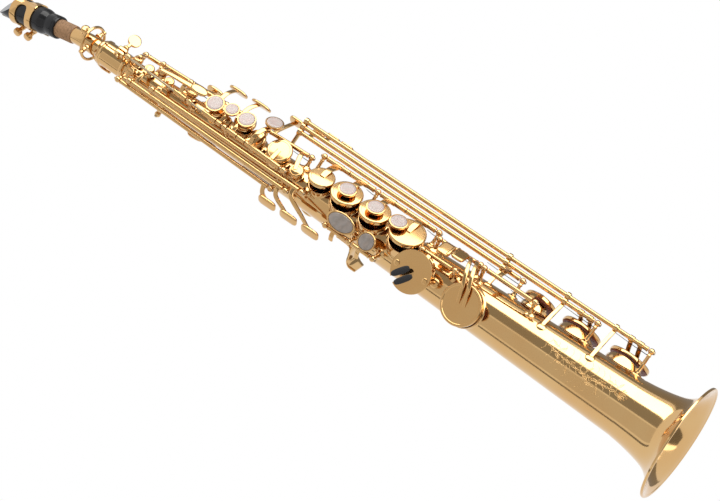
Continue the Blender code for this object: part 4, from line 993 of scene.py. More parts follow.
class SAX_OT_engraving(bpy.types.Operator):
    """Leaf scrolls cut into the lower body"""
    bl_idname = "sax.engraving"
    bl_label = "Engraving"

    def execute(self, context):
        piece = Piece("leaf_scrolls", "instrument")
        width = stock("engraving_width")
        steps, turns = 48, 30
        stem = curl(Vector((-9.0, 35.0)), -1.3, -0.45, 0.0, 68.0, steps)
        stroke(piece, stem, 1.5 * width)
        for i in range(2, steps - 2, 4):
            heading = heading_at(stem, i)
            reach = 7.0 + 8.0 * math.sin(math.pi * i / steps)
            for side in (-1.0, 1.0):
                long = curl(stem[i], heading + 0.35 * side, 1.5 * side, 1.2, reach, 14)
                short = curl(stem[i + 1], heading + 0.5 * side, -0.9 * side, 1.2, 0.6 * reach, 9)
                stroke(piece, long, width)
                stroke(piece, short, 0.7 * width)
        for i, side in ((6, 1.0), (14, -1.0), (24, 1.0), (32, -1.0), (42, 1.0)):
            scroll = curl(stem[i], heading_at(stem, i) + 0.9 * side, -5.4 * side, 1.3, 23.0, turns)
            stroke(piece, scroll, 1.2 * width)
            for share, lean in ((0.25, 1.1), (0.42, 1.0), (0.6, 0.9)):
                k = int(share * turns)
                heading = heading_at(scroll, k) + lean * side
                add_leaf(piece, scroll[k], heading, 7.5 - 3.0 * share, 0.8 * width)
        for i in range(7):
            add_leaf(piece, stem[-1], -2.6 + 0.35 * i, 8.0 - abs(i - 3) * 0.8, 0.8 * width)
        piece.make()
        return {"FINISHED"}


# Neck, mouthpiece and fittings

def neck_stops():
    """Rings of the neck: centre, direction and outer radius from the tenon to the cork end."""
    collar = RECEIVER_TOP_Z + GAP
    stops = [(UP * (BODY_TOP_Z + 0.8), UP, NECK_LOW_RADIUS)]
    for z, grow in ((collar, 0.0), (collar + 0.02, 1.1), (collar + 0.5, 1.6), (collar + 1.6, 1.6),
                    (collar + 2.4, 0.9), (collar + 3.2, 0.2), (collar + 4.0, 0.0)):
        stops.append((UP * z, UP, NECK_LOW_RADIUS + grow))
    for i in range(1, 17):
        share = i / 16
        lean = NECK_LEAN * share
        centre = Vector((0.0, NECK_BEND_RADIUS * (1.0 - math.cos(lean)),
                         NECK_BEND_Z + NECK_BEND_RADIUS * math.sin(lean)))
        radius = NECK_LOW_RADIUS + (NECK_HIGH_RADIUS - NECK_LOW_RADIUS) * share
        stops.append((centre, Vector((0.0, math.sin(lean), math.cos(lean))), radius))
    stops.append((on_neck(CORK_LENGTH + 0.4), NECK_UP, NECK_HIGH_RADIUS))
    return stops


def neck_ring(centre, direction, radius, facets=48):
    """A round ring square to the neck's direction."""
    deep = ACROSS.cross(direction) * -1.0
    return [centre + (ACROSS * c + deep * s) * radius for c, s in circle(facets, 0.5)]


class SAX_OT_neck(bpy.types.Operator):
    """Neck with its cork, receiver ring and clamp screw"""
    bl_idname = "sax.neck"
    bl_label = "Neck"

    def execute(self, context):
        neck = Piece("neck", "instrument")
        stops = neck_stops()
        rings = [neck_ring(*stop) for stop in stops]
        for centre, direction, radius in reversed(stops):
            rings.append(neck_ring(centre, direction, min(radius, NECK_LOW_RADIUS) - NECK_WALL))
        neck.add(loft(rings, loop=True), "body")
        for side in (-1.0, 1.0):
            way = ACROSS * side
            pad = [(3.1, 6.6), (3.1, 7.7), (2.6, 8.2), (1.9, 8.7), (1.7, 10.2), (1.9, 10.5), (1.9, 11.1),
                   (1.5, 11.4)]
            neck.add(turned(pad, OCTAVE_NECK_PIVOT, way, 20), "body")
            neck.add_screw(OCTAVE_NECK_PIVOT + way * 11.1, way, 1.2, 0.45)
        pip = [(2.9, 5.2), (2.9, 6.9), (2.5, 7.5), (2.2, 8.3), (2.2, 10.1), (2.0, 10.4), (1.1, 10.4),
               (1.0, 10.0), (1.0, 5.2)]
        neck.add(turned(pip, UP * OCTAVE_PIP_Z, BACK * -1.0, 24, loop=True), "body")
        neck.make(["neck_tube"])
        cork = Piece("cork", "instrument")
        bark = [(NECK_HIGH_RADIUS - 0.05, 0.0), (CORK_RADIUS - 0.5, 0.0), (CORK_RADIUS - 0.1, 0.7),
                (CORK_RADIUS, 2.0), (CORK_RADIUS, CORK_LENGTH - 1.2), (CORK_RADIUS - 0.4, CORK_LENGTH),
                (NECK_HIGH_RADIUS - 0.05, CORK_LENGTH)]
        cork.add(turned(bark, NECK_END, NECK_UP, 48, loop=True), "cork")
        cork.make(["neck_cork"])
        self.receiver()
        return {"FINISHED"}

    def receiver(self):
        """The split ring that holds the neck, with its lugs and paddle screw."""
        ring = Piece("receiver", "instrument")
        outer, rim = RECEIVER_RADIUS, RECEIVER_RADIUS + RECEIVER_RIM
        top, low = RECEIVER_TOP_Z, RECEIVER_BOTTOM_Z
        inner = NECK_LOW_RADIUS + 0.05
        profile = [(BODY_TOP_RADIUS + 0.1, low), (outer - 0.5, low), (outer, low + 0.5),
                   (outer, low + 3.0), (outer - 0.25, low + 3.4), (outer, low + 3.8),
                   (outer, top - 3.4), (outer + 0.1, top - 2.8), (rim, top - 2.3), (rim, top - 0.5),
                   (rim - 0.4, top), (inner + 0.4, top), (inner, top - 0.4), (inner, low)]
        slit = math.asin(0.6 / outer)
        rings = []
        for i in range(65):
            angle = slit + (2.0 * math.pi - 2.0 * slit) * i / 64
            spoke = Vector((math.sin(angle), -math.cos(angle), 0.0))
            rings.append([spoke * radius + UP * z for radius, z in profile])
        ring.add(loft(rings), "body")
        for side in (-1.0, 1.0):
            centre = Vector((side * 2.05, (-outer + 0.5 + CLAMP.y - 3.2) / 2.0, CLAMP.z))
            ring.add(plate(centre, ACROSS * side, BACK, 6.6, 9.0, 2.9, 0.5, 0.0, 28), "body")
        ring.make(["neck_receiver"])
        screw = Piece("clamp_screw", "instrument")
        start = 11.0
        shank = [(1.3, -5.1), (1.3, 4.0), (2.2, 4.3), (2.6, 4.8), (2.6, 6.0), (2.2, 6.5), (1.5, 7.2),
                 (1.5, start)]
        screw.add(turned(shank, CLAMP, ACROSS, 20), "keys")
        paddle = CLAMP + ACROSS * (start + 4.5)
        facing = Vector((0.0, -0.93, -0.37))
        screw.add(plate(paddle, facing, ACROSS, 11.0, 10.6, 1.8, 1.0, 0.0), "keys")
        screw.make(["neck_clamp_screw"])


def mouthpiece_ring(s, radius, table, beak):
    """A ring of the mouthpiece, cut flat at the table and at the beak."""
    high = math.asin(min(0.9995, table / radius))
    low = math.asin(max(-0.9995, beak / radius))
    ring = []
    for i in range(15):
        angle = low + (high - low) * i / 14
        ring.append((radius * math.cos(angle), radius * math.sin(angle)))
    edge = radius * math.cos(high)
    for i in range(1, 8):
        ring.append((edge - 2.0 * edge * i / 8, radius * math.sin(high)))
    for i in range(15):
        angle = high + (low - high) * i / 14
        ring.append((-radius * math.cos(angle), radius * math.sin(angle)))
    edge = radius * math.cos(low)
    for i in range(1, 8):
        ring.append((-edge + 2.0 * edge * i / 8, radius * math.sin(low)))
    return [on_neck(s, x, back) for x, back in ring]


class SAX_OT_mouthpiece(bpy.types.Operator):
    """Mouthpiece, reed and ligature with its two screws"""
    bl_idname = "sax.mouthpiece"
    bl_label = "Mouthpiece"

    def execute(self, context):
        self.mouthpiece()
        self.reed()
        self.ligature()
        return {"FINISHED"}

    def mouthpiece(self):
        """Hard rubber body with a ringed shank, a flat table and a beak."""
        start, tip = MOUTHPIECE_START, MOUTHPIECE_TIP
        socket = CORK_RADIUS + 0.02
        round_stops = [(socket, start + 12.0), (socket, start + 0.3), (socket + 0.3, start),
                       (SHANK_RADIUS - 0.3, start), (SHANK_RADIUS + 0.05, start + 0.3),
                       (SHANK_RADIUS + 0.25, start + 1.0), (SHANK_RADIUS + 0.25, start + 2.2),
                       (SHANK_RADIUS, start + 2.5), (SHANK_RADIUS, start + 2.8),
                       (SHANK_RADIUS + 0.25, start + 3.1), (SHANK_RADIUS + 0.25, start + 8.6),
                       (SHANK_RADIUS + 0.05, start + 9.4)]
        rings = [mouthpiece_ring(s, radius, 2.0 * radius, -2.0 * radius)
                 for radius, s in round_stops]
        for i in range(1, 9):
            share = i / 8
            ease = share * share * (3.0 - 2.0 * share)
            s = start + 9.4 + 7.8 * share
            radius = SHANK_RADIUS + 0.05 + (MOUTHPIECE_RADIUS - SHANK_RADIUS - 0.05) * ease
            table = TABLE_DEPTH if s > REED_START else 2.0 * radius
            rings.append(mouthpiece_ring(s, radius, table, -2.0 * radius))
        for i in range(0, 31):
            share = i / 30
            s = BEAK_START - 22.0 + (tip - BEAK_START + 22.0) * share
            past = max(0.0, (s - BEAK_START) / (tip - BEAK_START))
            radius = MOUTHPIECE_RADIUS - 2.4 * past ** 1.7
            beak = -MOUTHPIECE_RADIUS * 1.001 + past * (MOUTHPIECE_RADIUS + TABLE_DEPTH - 1.6)
            table = TABLE_DEPTH - 0.5 * past ** 2.0
            rings.append(mouthpiece_ring(s, radius, table, max(beak, -2.0 * radius)))
        piece = Piece("mouthpiece_body", "instrument")
        piece.add(loft(rings), "ebonite")
        piece.make(["mouthpiece"], sharp=30.0)

    def reed(self):
        """Cane reed, flat on the table and scraped thin to a round tip."""
        flat = TABLE_DEPTH + 0.05
        crown = MOUTHPIECE_RADIUS - 0.2
        half = math.sqrt(crown ** 2 - flat ** 2) - 0.2
        rings = []
        end = MOUTHPIECE_TIP - 0.8
        stops = [REED_START + 0.4 + (REED_VAMP - REED_START) * i / 4 for i in range(5)]
        stops += [REED_VAMP + 0.6 + (end - REED_VAMP - 0.6) * i / 12 for i in range(13)]
        for s in stops:
            past = max(0.0, (s - REED_VAMP) / (end - REED_VAMP))
            thick = 1.0 - 0.9 * past ** 0.8
            tip = math.sqrt(max(0.0, 1.0 - max(0.0, (past - 0.86) / 0.14) ** 2 * 0.75))
            ring = []
            for i in range(13):
                x = (half - 2.0 * half * i / 12) * tip
                ring.append(on_neck(s, x, flat))
            for i in range(13):
                x = (-half + 2.0 * half * i / 12) * tip
                rise = math.sqrt(crown ** 2 - x ** 2) - flat
                ring.append(on_neck(s, x, flat + 0.12 + max(rise - 0.1, 0.25) * thick))
            rings.append(ring)
        piece = Piece("reed_cane", "instrument")
        piece.add(loft(rings), "cane")
        piece.make(["reed"])

    def ligature(self):
        """Band with two windows, its barrels and its two milled screws."""
        inner = MOUTHPIECE_RADIUS + 0.15
        outer = inner + 1.05
        band = Piece("ligature_band", "instrument")
        middle = LIGATURE_START + LIGATURE_LENGTH / 2.0
        half = LIGATURE_LENGTH / 2.0

        def on_band(angle, s, radius):
            """A point by its angle round the band, from the side opposite the reed."""
            return on_neck(s, -radius * math.sin(angle), -radius * math.cos(angle))

        def sector(first, last):
            """A full stretch of the band between two angles."""
            profile = [(inner, -half), (outer - 0.2, -half), (outer, -half + 0.3), (outer, -half + 1.4),
                       (outer - 0.18, -half + 1.7), (outer - 0.18, half - 1.7), (outer, half - 1.4),
                       (outer, half - 0.3), (outer - 0.2, half), (inner, half)]
            rings = []
            for i in range(13):
                angle = first + (last - first) * i / 12
                rings.append([on_band(angle, middle + along, radius) for radius, along in profile])
            band.add(loft(rings), "keys")

        def window(first, last):
            """A stretch of the band with a rounded window in it."""
            centre, spread = (first + last) / 2.0, (last - first) / 2.0
            edge = [(c / max(abs(c), abs(s)), s / max(abs(c), abs(s))) for c, s in circle(48, 0.5)]
            hole = rounded_box(48, 0.72)
            frames = []
            for outline, wide, long, radius in (
                    (edge, 1.0, 1.0, inner), (edge, 1.0, 1.0, outer - 0.1), (hole, 0.94, 0.53, outer),
                    (hole, 0.9, 0.47, outer - 0.15), (hole, 0.9, 0.47, inner)):
                frames.append([on_band(centre + spread * u * wide, middle + half * v * long, radius)
                               for u, v in outline])
            band.add(loft(frames, loop=True), "keys")

        reach = math.radians(166.0)
        window(math.radians(7.0), math.radians(122.0))
        window(math.radians(-122.0), math.radians(-7.0))
        sector(math.radians(-7.2), math.radians(7.2))
        sector(math.radians(121.8), reach)
        sector(-reach, math.radians(-121.8))
        barrel_back = outer + 1.45
        for name, share in (("upper", 0.78), ("lower", 0.28)):
            s = LIGATURE_START + LIGATURE_LENGTH * share
            for side in (-1.0, 1.0):
                barrel = [(1.4, 1.1), (1.9, 1.1), (2.25, 1.5), (2.25, 4.5), (1.9, 4.9), (1.4, 4.9)]
                eye = on_neck(s, 0.0, barrel_back)
                band.add(turned(barrel, eye, ACROSS * side, 22, loop=True), "keys")
                foot = [on_neck(s, side * 2.6, outer - 0.8),
                        on_neck(s, side * 2.9, barrel_back - 1.0)]
                band.add(bar(foot, [4.0, 3.4], 3.2, NECK_UP, 2), "keys")
            screw = Piece(f"ligature_screw_{name}_turned", "instrument")
            shank = [(1.2, -6.5), (1.2, 5.4), (1.9, 5.7), (2.0, 6.1), (2.0, 8.1), (1.5, 8.5), (1.5, 8.9),
                     (3.1, 9.0)]
            screw.add(turned(shank, on_neck(s, 0.0, barrel_back), ACROSS * -1.0, 20), "keys")
            rings = []
            for scale, along in ((0.86, 8.9), (1.0, 9.3), (1.0, 12.2), (0.86, 12.9), (0.5, 13.2)):
                ring = []
                for i in range(48):
                    angle = 2.0 * math.pi * i / 48
                    radius = 3.4 * scale * (1.0 - 0.07 * (i % 2) * (scale > 0.9))
                    ring.append(on_neck(s + radius * math.cos(angle), -along,
                                        barrel_back + radius * math.sin(angle)))
                rings.append(ring)
            screw.add(loft(rings), "keys")
            screw.make([f"ligature_screw_{name}"], sharp=25.0)
        band.make(["ligature"])


class SAX_OT_fittings(bpy.types.Operator):
    """Thumb rest, thumb hook, strap ring and key guard"""
    bl_idname = "sax.fittings"
    bl_label = "Fittings"

    def execute(self, context):
        self.thumb_rest()
        self.thumb_hook()
        self.strap_ring()
        self.guard()
        return {"FINISHED"}

    def thumb_rest(self):
        """Left thumb's button on a brass foot."""
        z, turn = at("b", -1.0), 172.0
        piece = Piece("thumb_rest_button", "instrument")
        base = tube_radius(z)
        piece.add(saddle(turn, z, [(7.6, -0.7), (7.6, 0.25), (7.2, 0.6), (6.0, 0.7)], 36), "body")
        button = [(7.0, 0.0), (7.0, 1.3), (6.7, 2.0), (6.0, 2.6), (4.6, 3.1), (2.4, 3.35), (0.8, 3.4)]
        piece.add(turned(button, place(base + GAP, turn, z), outward(turn), 40), "ebonite")
        piece.make(["thumb_rest"])

    def thumb_hook(self):
        """Right thumb's bent hook, held by two screws."""
        z, turn = at("e", 9.0), 163.0
        skin = tube_radius(z - 14.0) + GAP
        stops = ((0.9, 15.0), (0.9, 3.0), (4.0, 0.0), (13.0, -0.6), (17.0, -3.5), (18.4, -9.0))
        points = [place(skin + rise, turn, z + along) for rise, along in stops]
        piece = Piece("thumb_hook_bent", "instrument")
        widths = [10.0, 12.0, 14.0, 15.0, 15.0, 12.0]
        piece.add(bar(points, widths, 1.8, sideways(turn), 6, 0.4, 20), "body")
        for along in (6.0, 12.0):
            centre = place(skin + 1.7, turn, z + along)
            piece.add_screw(centre, outward(turn), 1.7, 0.7)
        piece.make(["thumb_hook"])

    def strap_ring(self):
        """Ring for the strap on a screwed plate."""
        z, radius = at("f_sharp", 9.5), 5.4
        skin = tube_radius(z) + GAP
        piece = Piece("strap_ring_eye", "instrument")
        loop = [place(skin + radius + 1.8 + radius * c, BACK_TURN, z + radius * s)
                for c, s in circle(40)]
        piece.add(wire(loop, 1.35, closed=True, facets=14), "body")
        face = outward(BACK_TURN)
        foot = place(skin + 0.9, BACK_TURN, z)
        piece.add(plate(foot, face, UP, 20.0, 9.0, 1.8, 0.85, 0.1), "body")
        for side in (-1.0, 1.0):
            centre = place(skin + 1.6, BACK_TURN, z + side * 7.4)
            piece.add_screw(centre, face, 1.2, 0.6)
        piece.make(["strap_ring"])

    def guard(self):
        """Round key guard on two feet, with a slot between two felts."""
        z, turn = HOLES["low_e_flat"][:2]
        centre = above(14.4, turn, z)
        face = outward(turn)
        lean = math.radians(39.0)
        aside = sideways(turn) * math.cos(lean) + UP * math.sin(lean)
        upward = UP * math.cos(lean) - sideways(turn) * math.sin(lean)
        piece = Piece("key_guard", "instrument")
        slot, edge = 2.5, 16.4
        opening = math.asin(slot / edge)
        rings = []
        for reach, height in ((edge - 1.2, -0.7), (edge - 0.3, -0.55), (edge, 0.0), (edge - 0.3, 0.55),
                              (edge - 1.2, 0.7)):
            outline = [(reach, opening + (2.0 * math.pi - 2.0 * opening) * i / 60) for i in range(61)]
            outline += [(slot, -math.pi / 2.0 - math.pi * i / 8) for i in range(9)]
            rings.append([centre + aside * (radius * math.cos(angle))
                          + upward * (radius * math.sin(angle)) + face * height
                          for radius, angle in outline])
        piece.add(loft(rings), "keys")
        for side in (-1.0, 1.0):
            foot_z = z + side * 14.9
            piece.add(turned([(1.5, tube_radius(foot_z) + 0.5), (1.35, tube_radius(foot_z) + 6.0),
                              (1.6, tube_radius(z) + 13.6)], UP * foot_z, face, 16), "keys")
            piece.add(saddle(turn, foot_z, [(3.9, -0.6), (3.9, 0.3), (3.4, 0.7), (1.7, 1.6)], 22), "keys")
            piece.add(turned([(2.3, 0.6), (2.3, 1.0), (1.6, 1.5), (0.6, 1.7)],
                             centre + UP * (side * 12.6), face, 18), "keys")
        piece.make(["low_e_flat_guard"])
        felts = Piece("guard_felts", "instrument")
        for side in (-1.0, 1.0):
            spot = centre + aside * 7.4 + upward * (side * 3.3)
            felts.add(plate(spot, face, aside, 15.5, 5.0, 2.6, 0.7, 0.35), "felt")
        felts.make()


# Keys

CUP_INSET = 0.05
PIVOT_GAP = 2.8
SPRING_LIMIT = 30.0
STACK_SPRING = 9.0


class Key:
    """A key that turns on a hinge line; its parts are laid out with the key closed."""

    def __init__(self, name, line, low_z, high_z, hole=None, stands_open=False, tube=False):
        self.name = name
        self.line = line
        self.hole = HOLES.get(hole)
        self.piece = Piece(f"{name}_made", name)
        self.swing = None
        if stands_open:
            joint = next(joint for joint in frame["joints"] if joint["child"] == name)
            middle = Matrix.Translation(Vector(joint["pos_m"]))
            turn = Matrix.Rotation(-math.radians(joint["range_deg"][1]), 4, Vector(joint["axis"]))
            self.swing = middle @ turn @ middle.inverted()
        radius = stock("hinge_tube_radius" if tube else "shaft_radius")
        low, high = line.point(low_z), line.point(high_z)
        span = (high - low).length
        inner = stock("rod_radius") + 0.15 if tube else 0.5
        profile = [(inner, 0.0), (radius - 0.1, 0.0), (radius + 0.2, 0.2), (radius + 0.2, 1.0),
                   (radius, 1.15), (radius, span - 1.15), (radius + 0.2, span - 1.0),
                   (radius + 0.2, span - 0.2), (radius - 0.1, span), (inner, span)]
        self.piece.add(turned(profile, low, line.axis, sides("rod_sides"), loop=tube), "keys")

    def arm(self, z, *points, width=None, thickness=None):
        """A shaped arm from a height on the hinge through points."""
        path = [self.line.point(z), *points]
        width = width or stock("arm_width")
        widths = width if isinstance(width, list) else [width] * len(path)
        self.piece.add(bar(path, widths, thickness or stock("arm_thickness"), self.line.axis), "keys")

    def collar(self, z, long=3.4):
        """A hub on the hinge tube where an arm is soldered on."""
        radius = stock("hinge_tube_radius") + 0.35
        start = self.line.point(z - long / 2.0)
        hub = [(radius - 0.3, 0.0), (radius, 0.3), (radius, long - 0.3), (radius - 0.3, long)]
        self.piece.add(turned(hub, start, self.line.axis, sides("rod_sides")), "keys")

    def cup_top(self):
        """Distance of the closed cup's top from the body axis."""
        z = self.hole[0]
        seat = tube_radius(z) + stock("chimney_rise")
        return seat + GAP + stock("pad_show") + stock("cup_height")

    def over_cup(self, aside=0.0, lift=0.0, rise=0.0):
        """A point above the flat of the cup, moved aside round the body and along it."""
        z, turn = self.hole[:2]
        return outward(turn) * (self.cup_top() + lift) + sideways(turn) * aside + UP * (z + rise)

    def cup(self, node=None):
        """The pad cup with its turned rim, its pad and the pad's resonator."""
        z, turn, radius = self.hole
        radius -= CUP_INSET
        base = tube_radius(z) + stock("chimney_rise") + GAP
        lip = base + stock("pad_show")
        top = self.cup_top()
        facets = sides("cup_sides") if radius > 6.0 else 30
        rim = min(1.0, 0.14 * radius)
        dome = [(radius - 1.3, lip + 1.5), (radius - 0.75, lip + 0.12), (radius - 0.4, lip - 0.05),
                (radius, lip + 0.3), (radius, top - 1.15), (radius - 0.18, top - 0.6),
                (radius - 0.55, top - 0.2), (radius - 0.9, top - 0.06), (radius - 0.95 - rim, top - 0.05),
                (radius - 1.2 - rim, top - 0.3), (0.55 * radius, top - 0.12), (0.2 * radius, top)]
        way = outward(turn)
        self.piece.add(turned(dome, UP * z, way, facets), "keys")
        pad = Piece(f"{self.name}_pad_skin", self.piece.body)
        edge = radius - 1.0
        hide = [(0.3 * edge, base + 0.12), (edge - 2.0, base + 0.1), (edge - 1.5, base + 0.26),
                (edge - 0.9, base + 0.06), (edge - 0.25, base + 0.18), (edge, base + 0.55),
                (edge, lip + 1.2)]
        pad.add(turned(hide, UP * z, way, facets), "leather")
        boss = min(0.52 * radius, 7.4)
        shell = [(boss, base + 0.25), (boss, base), (0.86 * boss, base - 0.4), (0.5 * boss, base - 0.75),
                 (0.2 * boss, base - 0.85), (0.16 * boss, base - 1.15), (0.06 * boss, base - 1.3)]
        pad.add(turned(shell, UP * z, way, 28), "keys")
        pad.make([node] if node else (), self.swing)

    def touch(self, centre, long, wide, tilt=0.0, power=0.6, crown=0.35):
        """A finger plate facing outward."""
        self.piece.add(plate(centre, outward(turn_of(centre) + tilt), UP, long, wide,
                             stock("touch_thickness"), power, crown), "keys")

    def pearl(self, origin, node, stem=1.9, radius=None, finish="pearl", stretch=1.0):
        """A holder with a pearl set into it."""
        radius = radius or stock("pearl_radius")
        up = outward(turn_of(origin))
        rim = radius + 1.1
        well = radius + 0.08
        holder = [(2.4, -0.6), (1.9, 0.4), (1.9, stem - 0.3), (2.6, stem - 0.1),
                  (rim - 1.2, stem + 0.02), (rim - 0.4, stem + 0.2), (rim - 0.05, stem + 0.8),
                  (rim, stem + 2.0), (rim - 0.25, stem + 2.3), (well + 0.15, stem + 2.35),
                  (well, stem + 2.1), (well, stem + 1.2)]
        floor = stem + 1.2
        bead = [(radius, floor), (radius, floor + 0.95), (0.965 * radius, floor + 1.35),
                (0.88 * radius, floor + 1.6), (0.6 * radius, floor + 1.56), (0.25 * radius, floor + 1.5)]

        def drawn_out(shell):
            """A shell made longer along the body."""
            verts = [Vector((p.x, p.y, origin.z + (p.z - origin.z) * stretch)) for p in shell[0]]
            return verts, shell[1]

        self.piece.add(drawn_out(turned(holder, origin, up, 40)), "keys")
        piece = Piece(f"{node}_polished", self.piece.body)
        piece.add(drawn_out(turned(bead, origin, up, 40)), finish)
        piece.make([node], self.swing)

    def bumper(self, centre, way, radius=1.7, thick=1.6):
        """A small cork that quiets the key where it comes to rest."""
        cork = [(radius - 0.2, 0.0), (radius, 0.3), (radius, thick - 0.2), (radius - 0.3, thick)]
        self.piece.add(turned(cork, centre, way, 18), "cork")

    def done(self):
        """Make the key in the place it rests in."""
        self.piece.make([self.name], self.swing)


def between_posts(name, hole=None, stands_open=False, ending="key", top_gap=PIVOT_GAP):
    """A key whose solid shaft turns between the end posts of its own line."""
    line = LINES[name]
    body = f"{name}_{ending}" if ending else name
    return Key(body, line, line.low.z + PIVOT_GAP, line.high.z - top_gap, hole, stands_open)


def cup_gap(low, high):
    """Height halfway between two neighbouring cups."""
    return (at(low, HOLES[low][2]) + at(high, -HOLES[high][2])) / 2.0


class SAX_OT_lower_stack(bpy.types.Operator):
    """Right hand stack: F sharp, F, E and D"""
    bl_idname = "sax.lower_stack"
    bl_label = "Lower stack"

    def execute(self, context):
        low, middle, high = LOWER_POSTS
        split, joint = cup_gap("f", "f_sharp"), cup_gap("d", "e")
        spans = {
            "f_sharp": (split + 0.25, high - 3.0), "f": (middle + 3.0, split - 0.25),
            "e": (joint + 0.25, middle - 3.0), "d": (low + 3.0, joint - 0.25),
        }
        for name, span in spans.items():
            key = Key(f"{name}_key", LOWER, *span, name, True, True)
            z, _, radius = key.hole
            key.collar(z, 7.4)
            key.arm(z, key.over_cup(1.5 - radius, 0.9), key.over_cup(), width=[7.0, 5.4, 4.4])
            key.cup(f"{name}_pad")
            if name != "f_sharp":
                rise = 9.0 if name == "d" else 0.0
                key.pearl(place(key.cup_top(), 1.0, z + rise), f"{name}_pearl")
            key.done()
        return {"FINISHED"}


class SAX_OT_upper_stack(bpy.types.Operator):
    """Left hand stack: G, C vent, A, bis, B and the front F lever"""
    bl_idname = "sax.upper_stack"
    bl_label = "Upper stack"

    def execute(self, context):
        low, middle, high = UPPER_POSTS[:3]
        g = Key("g_key", UPPER, low + 3.5, at("c_vent", 3.0), "g", True, True)
        g.collar(at("g"))
        g.arm(at("g"), g.over_cup(6.0, 0.6), g.over_cup())
        g.cup()
        finger = above(12.9, -30.0, at("g", 15.0))
        g.arm(at("g", 20.0), above(14.7, 12.0, at("g", 19.6)), above(14.4, -8.0, at("g", 18.0)), finger)
        g.pearl(finger, "g_pearl")
        vent = Key("c_vent_key", UPPER, at("c_vent", 3.6), at("c_vent", 11.4), "c_vent", True, True)
        vent.arm(at("c_vent", 6.0), vent.over_cup(4.0, 0.6, 3.0), vent.over_cup(rise=1.0), width=3.0)
        vent.cup()
        a = Key("a_key", UPPER, at("c_vent", 12.0), middle - 3.3, "a", True, True)
        a.arm(at("a", 1.0), a.over_cup(7.2, 0.8, 0.8), a.over_cup())
        a.cup()
        a.pearl(place(a.cup_top(), -12.0, at("a", -2.9)), "a_pearl", stem=4.0)
        bis = Key("bis_key", UPPER, middle + 3.1, at("bis", 4.1), "bis", True, True)
        bis.arm(at("bis", 1.5), bis.over_cup(2.2, 0.4, 0.6), bis.over_cup(), width=2.8)
        bis.cup()
        finger = above(10.4, -11.0, at("bis", -0.9))
        bis.arm(at("bis", 1.7), above(10.65, 6.0, at("bis", 1.1)), finger, width=2.8)
        bis.pearl(finger, "bis_pearl", radius=4.9)
        b = Key("b_key", UPPER, at("bis", 4.7), at("b", 6.0), "b", True, True)
        b.collar(at("b"))
        b.arm(at("b"), b.over_cup(5.8, 0.8), b.over_cup())
        b.cup()
        b.pearl(place(b.cup_top(), -5.0, at("b", 1.2)), "b_pearl", stem=4.0)
        front = Key("front_f_lever", UPPER, high + 3.5, high + 15.5, tube=True)
        hub = high + 10.5
        front.collar(hub)
        front.arm(hub, above(14.25, 8.0, hub), above(16.6, -1.0, hub))
        path = [above(15.0, 0.0, hub + 24.0), above(16.7, 0.0, hub + 12.0), above(17.0, -1.0, hub),
                above(17.3, -3.0, hub - 14.0)]
        front.piece.add(bar(path, [3.2, 3.6, 4.2, 5.0], 1.8, sideways(0.0)), "keys")
        front.touch(above(17.6, -3.0, high - 2.0), 15.0, 8.5, power=0.9)
        for key in (g, vent, a, bis, b, front):
            key.done()
        return {"FINISHED"}


class SAX_OT_palm_keys(bpy.types.Operator):
    """Left palm keys for high D, E flat and F"""
    bl_idname = "sax.palm_keys"
    bl_label = "Palm keys"

    def execute(self, context):
        reaches = {
            "palm_d": ((15.5, -54.0, -20.5), (21.5, -70.0, -21.0), (24.5, -80.0, -21.0), 17.0),
            "palm_e_flat": ((15.4, -66.0, -40.0), (21.3, -72.0, -42.0), (23.8, -76.0, -44.0), 18.0),
            "palm_f": ((11.6, -83.0, -2.5), (16.6, -92.0, -3.0), (19.6, -98.0, -3.0), 17.0),
        }
        for name, (*stops, long) in reaches.items():
            key = between_posts(name, name)
            z, _, radius = key.hole
            key.arm(z, key.over_cup(1.0 - radius, 0.5), key.over_cup(), width=3.0)
            key.cup()
            path = [above(rise, turn, at("palm_d", along)) for rise, turn, along in stops]
            key.arm(path[0].z + 0.5, *path)
            key.touch(path[-1], long, 10.0, tilt=12.0, power=0.8, crown=0.7)
            key.done()
        return {"FINISHED"}


class SAX_OT_side_keys(bpy.types.Operator):
    """Right hand side keys with their long rods"""
    bl_idname = "sax.side_keys"
    bl_label = "Side keys"

    def execute(self, context):
        bends = {
            "side_b_flat": ((13.1, 84.0, 4.0), (15.4, 91.0, -3.0)),
            "side_e": ((12.8, 71.0, 4.5), (14.2, 84.0, -6.0), (14.8, 91.0, -11.5)),
            "side_c": ((12.4, 57.0, 4.5), (13.4, 74.0, -10.0), (14.1, 91.0, -20.0)),
        }
        for name, stops in bends.items():
            key = between_posts(name, name)
            z, turn = key.hole[:2]
            line_turn = turn_of(key.line.point(z))
            low = key.cup_top() + 0.1
            key.arm(z, place(low + 1.6, line_turn - 12.0, z),
                    place(low, (turn + line_turn) / 2.0 + 3.0, z), place(low, turn, z), width=3.0,
                    thickness=1.5)
            key.cup()
            foot = key.line.low.z
            path = [above(rise, stop_turn, foot + along) for rise, stop_turn, along in stops]
            key.arm(foot + 6.5, *path)
            key.touch(path[-1], 16.0, 9.0, power=0.5, crown=0.5)
            key.done()
        return {"FINISHED"}


